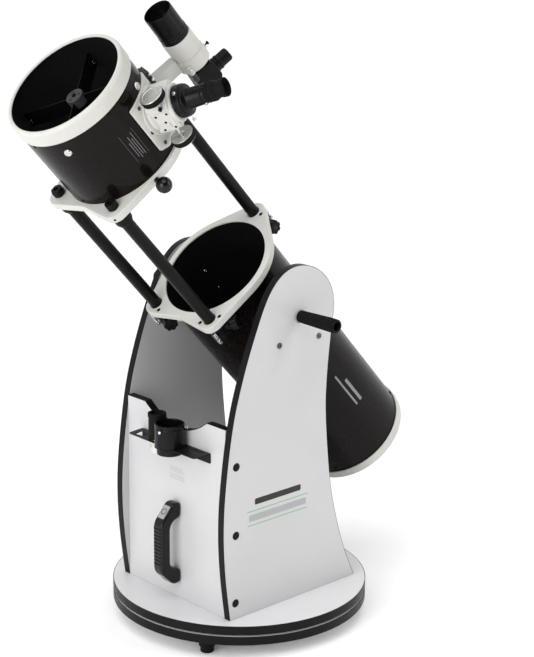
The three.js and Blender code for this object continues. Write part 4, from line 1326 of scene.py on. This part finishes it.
def curved_bar(piece, along, arc, length, width, finish, proud=0.06):
    """A thin bar on the tube's skin, its length along the tube."""
    place = facing(at_angle(0), "y")
    half = radians(arc) * SKIN
    piece.prism(
        place, rectangle(half - width / 2, half + width / 2, -along - length, -along), SKIN + 0.01,
        SKIN + proud, finish, soft=0, slices={"x": every(half - 60, half + 60, 3)},
        bend=lambda p: Vector((p.z * sin(p.x / SKIN), p.y, p.z * cos(p.x / SKIN))),
    )


patch = Piece("tube_patch", "upper", "gloss")
for arc, along, length in (
    (93.5, 484, 62), (96.6, 487, 54), (98.8, 490, 40), (101, 486, 52), (103.2, 492, 34),
):
    curved_bar(patch, along, arc, length, 1.3 if arc > 95 else 0.4, "label_dark")
curved_bar(patch, 484, 107, 66, 0.4, "label_dark")
band = Piece("lower_tube_mark", "tube", "gloss")
curved_bar(band, -318, 84, 70, 7, "label_light", 0.1)
curved_bar(band, -316, 91, 98, 4.4, "label_light", 0.1)

for piece in PIECES:
    piece.done()

# ------------------------------------------------------------------ floor, light and camera
floor_mesh = bpy.data.meshes.new("studio_floor")
FLOOR = 40
floor_corners = [
    (x, y, -0.0002)
    for x, y in ((-FLOOR, -FLOOR), (FLOOR, -FLOOR), (FLOOR, FLOOR), (-FLOOR, FLOOR))
]
floor_mesh.from_pydata(floor_corners, [], [(0, 1, 2, 3)])
floor_shade = Shade("studio_floor", Specular_IOR_Level=0.1)
floor_shade.colour(
    floor_shade.mix(
        floor_shade.ramp(floor_shade.noise(3, 2), 0.3, 0.7), (0.97, 0.97, 0.97), (0.95, 0.95, 0.95),
    )
)
floor_shade.rough(floor_shade.ramp(floor_shade.noise(40, 2), 0.3, 0.7, 0.8, 0.9))
floor_mesh.materials.append(floor_shade.material)
floor = bpy.data.objects.new("studio_floor", floor_mesh)
bpy.context.scene.collection.objects.link(floor)

# The room is white overhead and behind, and darker from the side that the tube's skin mirrors.
world = bpy.data.worlds.new("studio")
bpy.context.scene.world = world
world.use_nodes = True
sky = world.node_tree
DARK_SIDE = (0.62, -0.66, 0.42)
direction = sky.nodes.new("ShaderNodeTexCoord").outputs["Generated"]
toward = sky.nodes.new("ShaderNodeVectorMath")
toward.operation = "DOT_PRODUCT"
toward.inputs[1].default_value = DARK_SIDE
sky.links.new(direction, toward.inputs[0])
dim = sky.nodes.new("ShaderNodeMapRange")
dim.interpolation_type = "SMOOTHSTEP"
for socket, value in (("From Min", 0.0), ("From Max", 0.85), ("To Min", 0.95), ("To Max", 0.08)):
    dim.inputs[socket].default_value = value
sky.links.new(toward.outputs["Value"], dim.inputs["Value"])
sky.links.new(dim.outputs[0], sky.nodes["Background"].inputs["Strength"])
sky.nodes["Background"].inputs["Color"].default_value = (1, 1, 1, 1)

AIM = Vector((0, 0.05, 0.62))


def aimed(name, data, offset):
    lamp = bpy.data.objects.new(name, data)
    lamp.location = AIM + Vector(offset)
    lamp.rotation_euler = Vector(offset).to_track_quat("Z", "Y").to_euler()
    bpy.context.scene.collection.objects.link(lamp)


def softbox(name, offset, size, power):
    data = bpy.data.lights.new(name, "AREA")
    data.shape = "RECTANGLE"
    data.size, data.size_y = size
    data.energy = power
    aimed(name, data, offset)


sun = bpy.data.lights.new("overhead", "SUN")
sun.energy = 1.7
sun.angle = radians(50)
aimed("overhead", sun, (0.55, -0.75, 1.9))
softbox("side_strip", (2.6, 1.5, 1.3), (0.5, 2.2), 26)
softbox("front_fill", (0.7, -3.2, 0.7), (2.0, 2.0), 66)
bpy.context.scene.view_settings.view_transform = "Standard"

LENS = 98.168
EYE = (2.53128, -2.26384, 1.56016)
AZIMUTH, ELEVATION, ROLL = (radians(a) for a in (46.693, 15.689, 0.618))
back = Vector((sin(AZIMUTH) * cos(ELEVATION), -cos(AZIMUTH) * cos(ELEVATION), sin(ELEVATION)))
right = Vector((cos(AZIMUTH), sin(AZIMUTH), 0))
up = back.cross(right)
level = right * cos(ROLL) + up * sin(ROLL)
upright = up * cos(ROLL) - right * sin(ROLL)
camera_data = bpy.data.cameras.new("camera")
camera_data.sensor_fit = "AUTO"
camera_data.sensor_width = 36
camera_data.lens = LENS
camera = bpy.data.objects.new("camera", camera_data)
camera.matrix_world = Matrix((*zip(level, upright, back, EYE), (0, 0, 0, 1)))
bpy.context.scene.collection.objects.link(camera)
bpy.context.scene.camera = camera
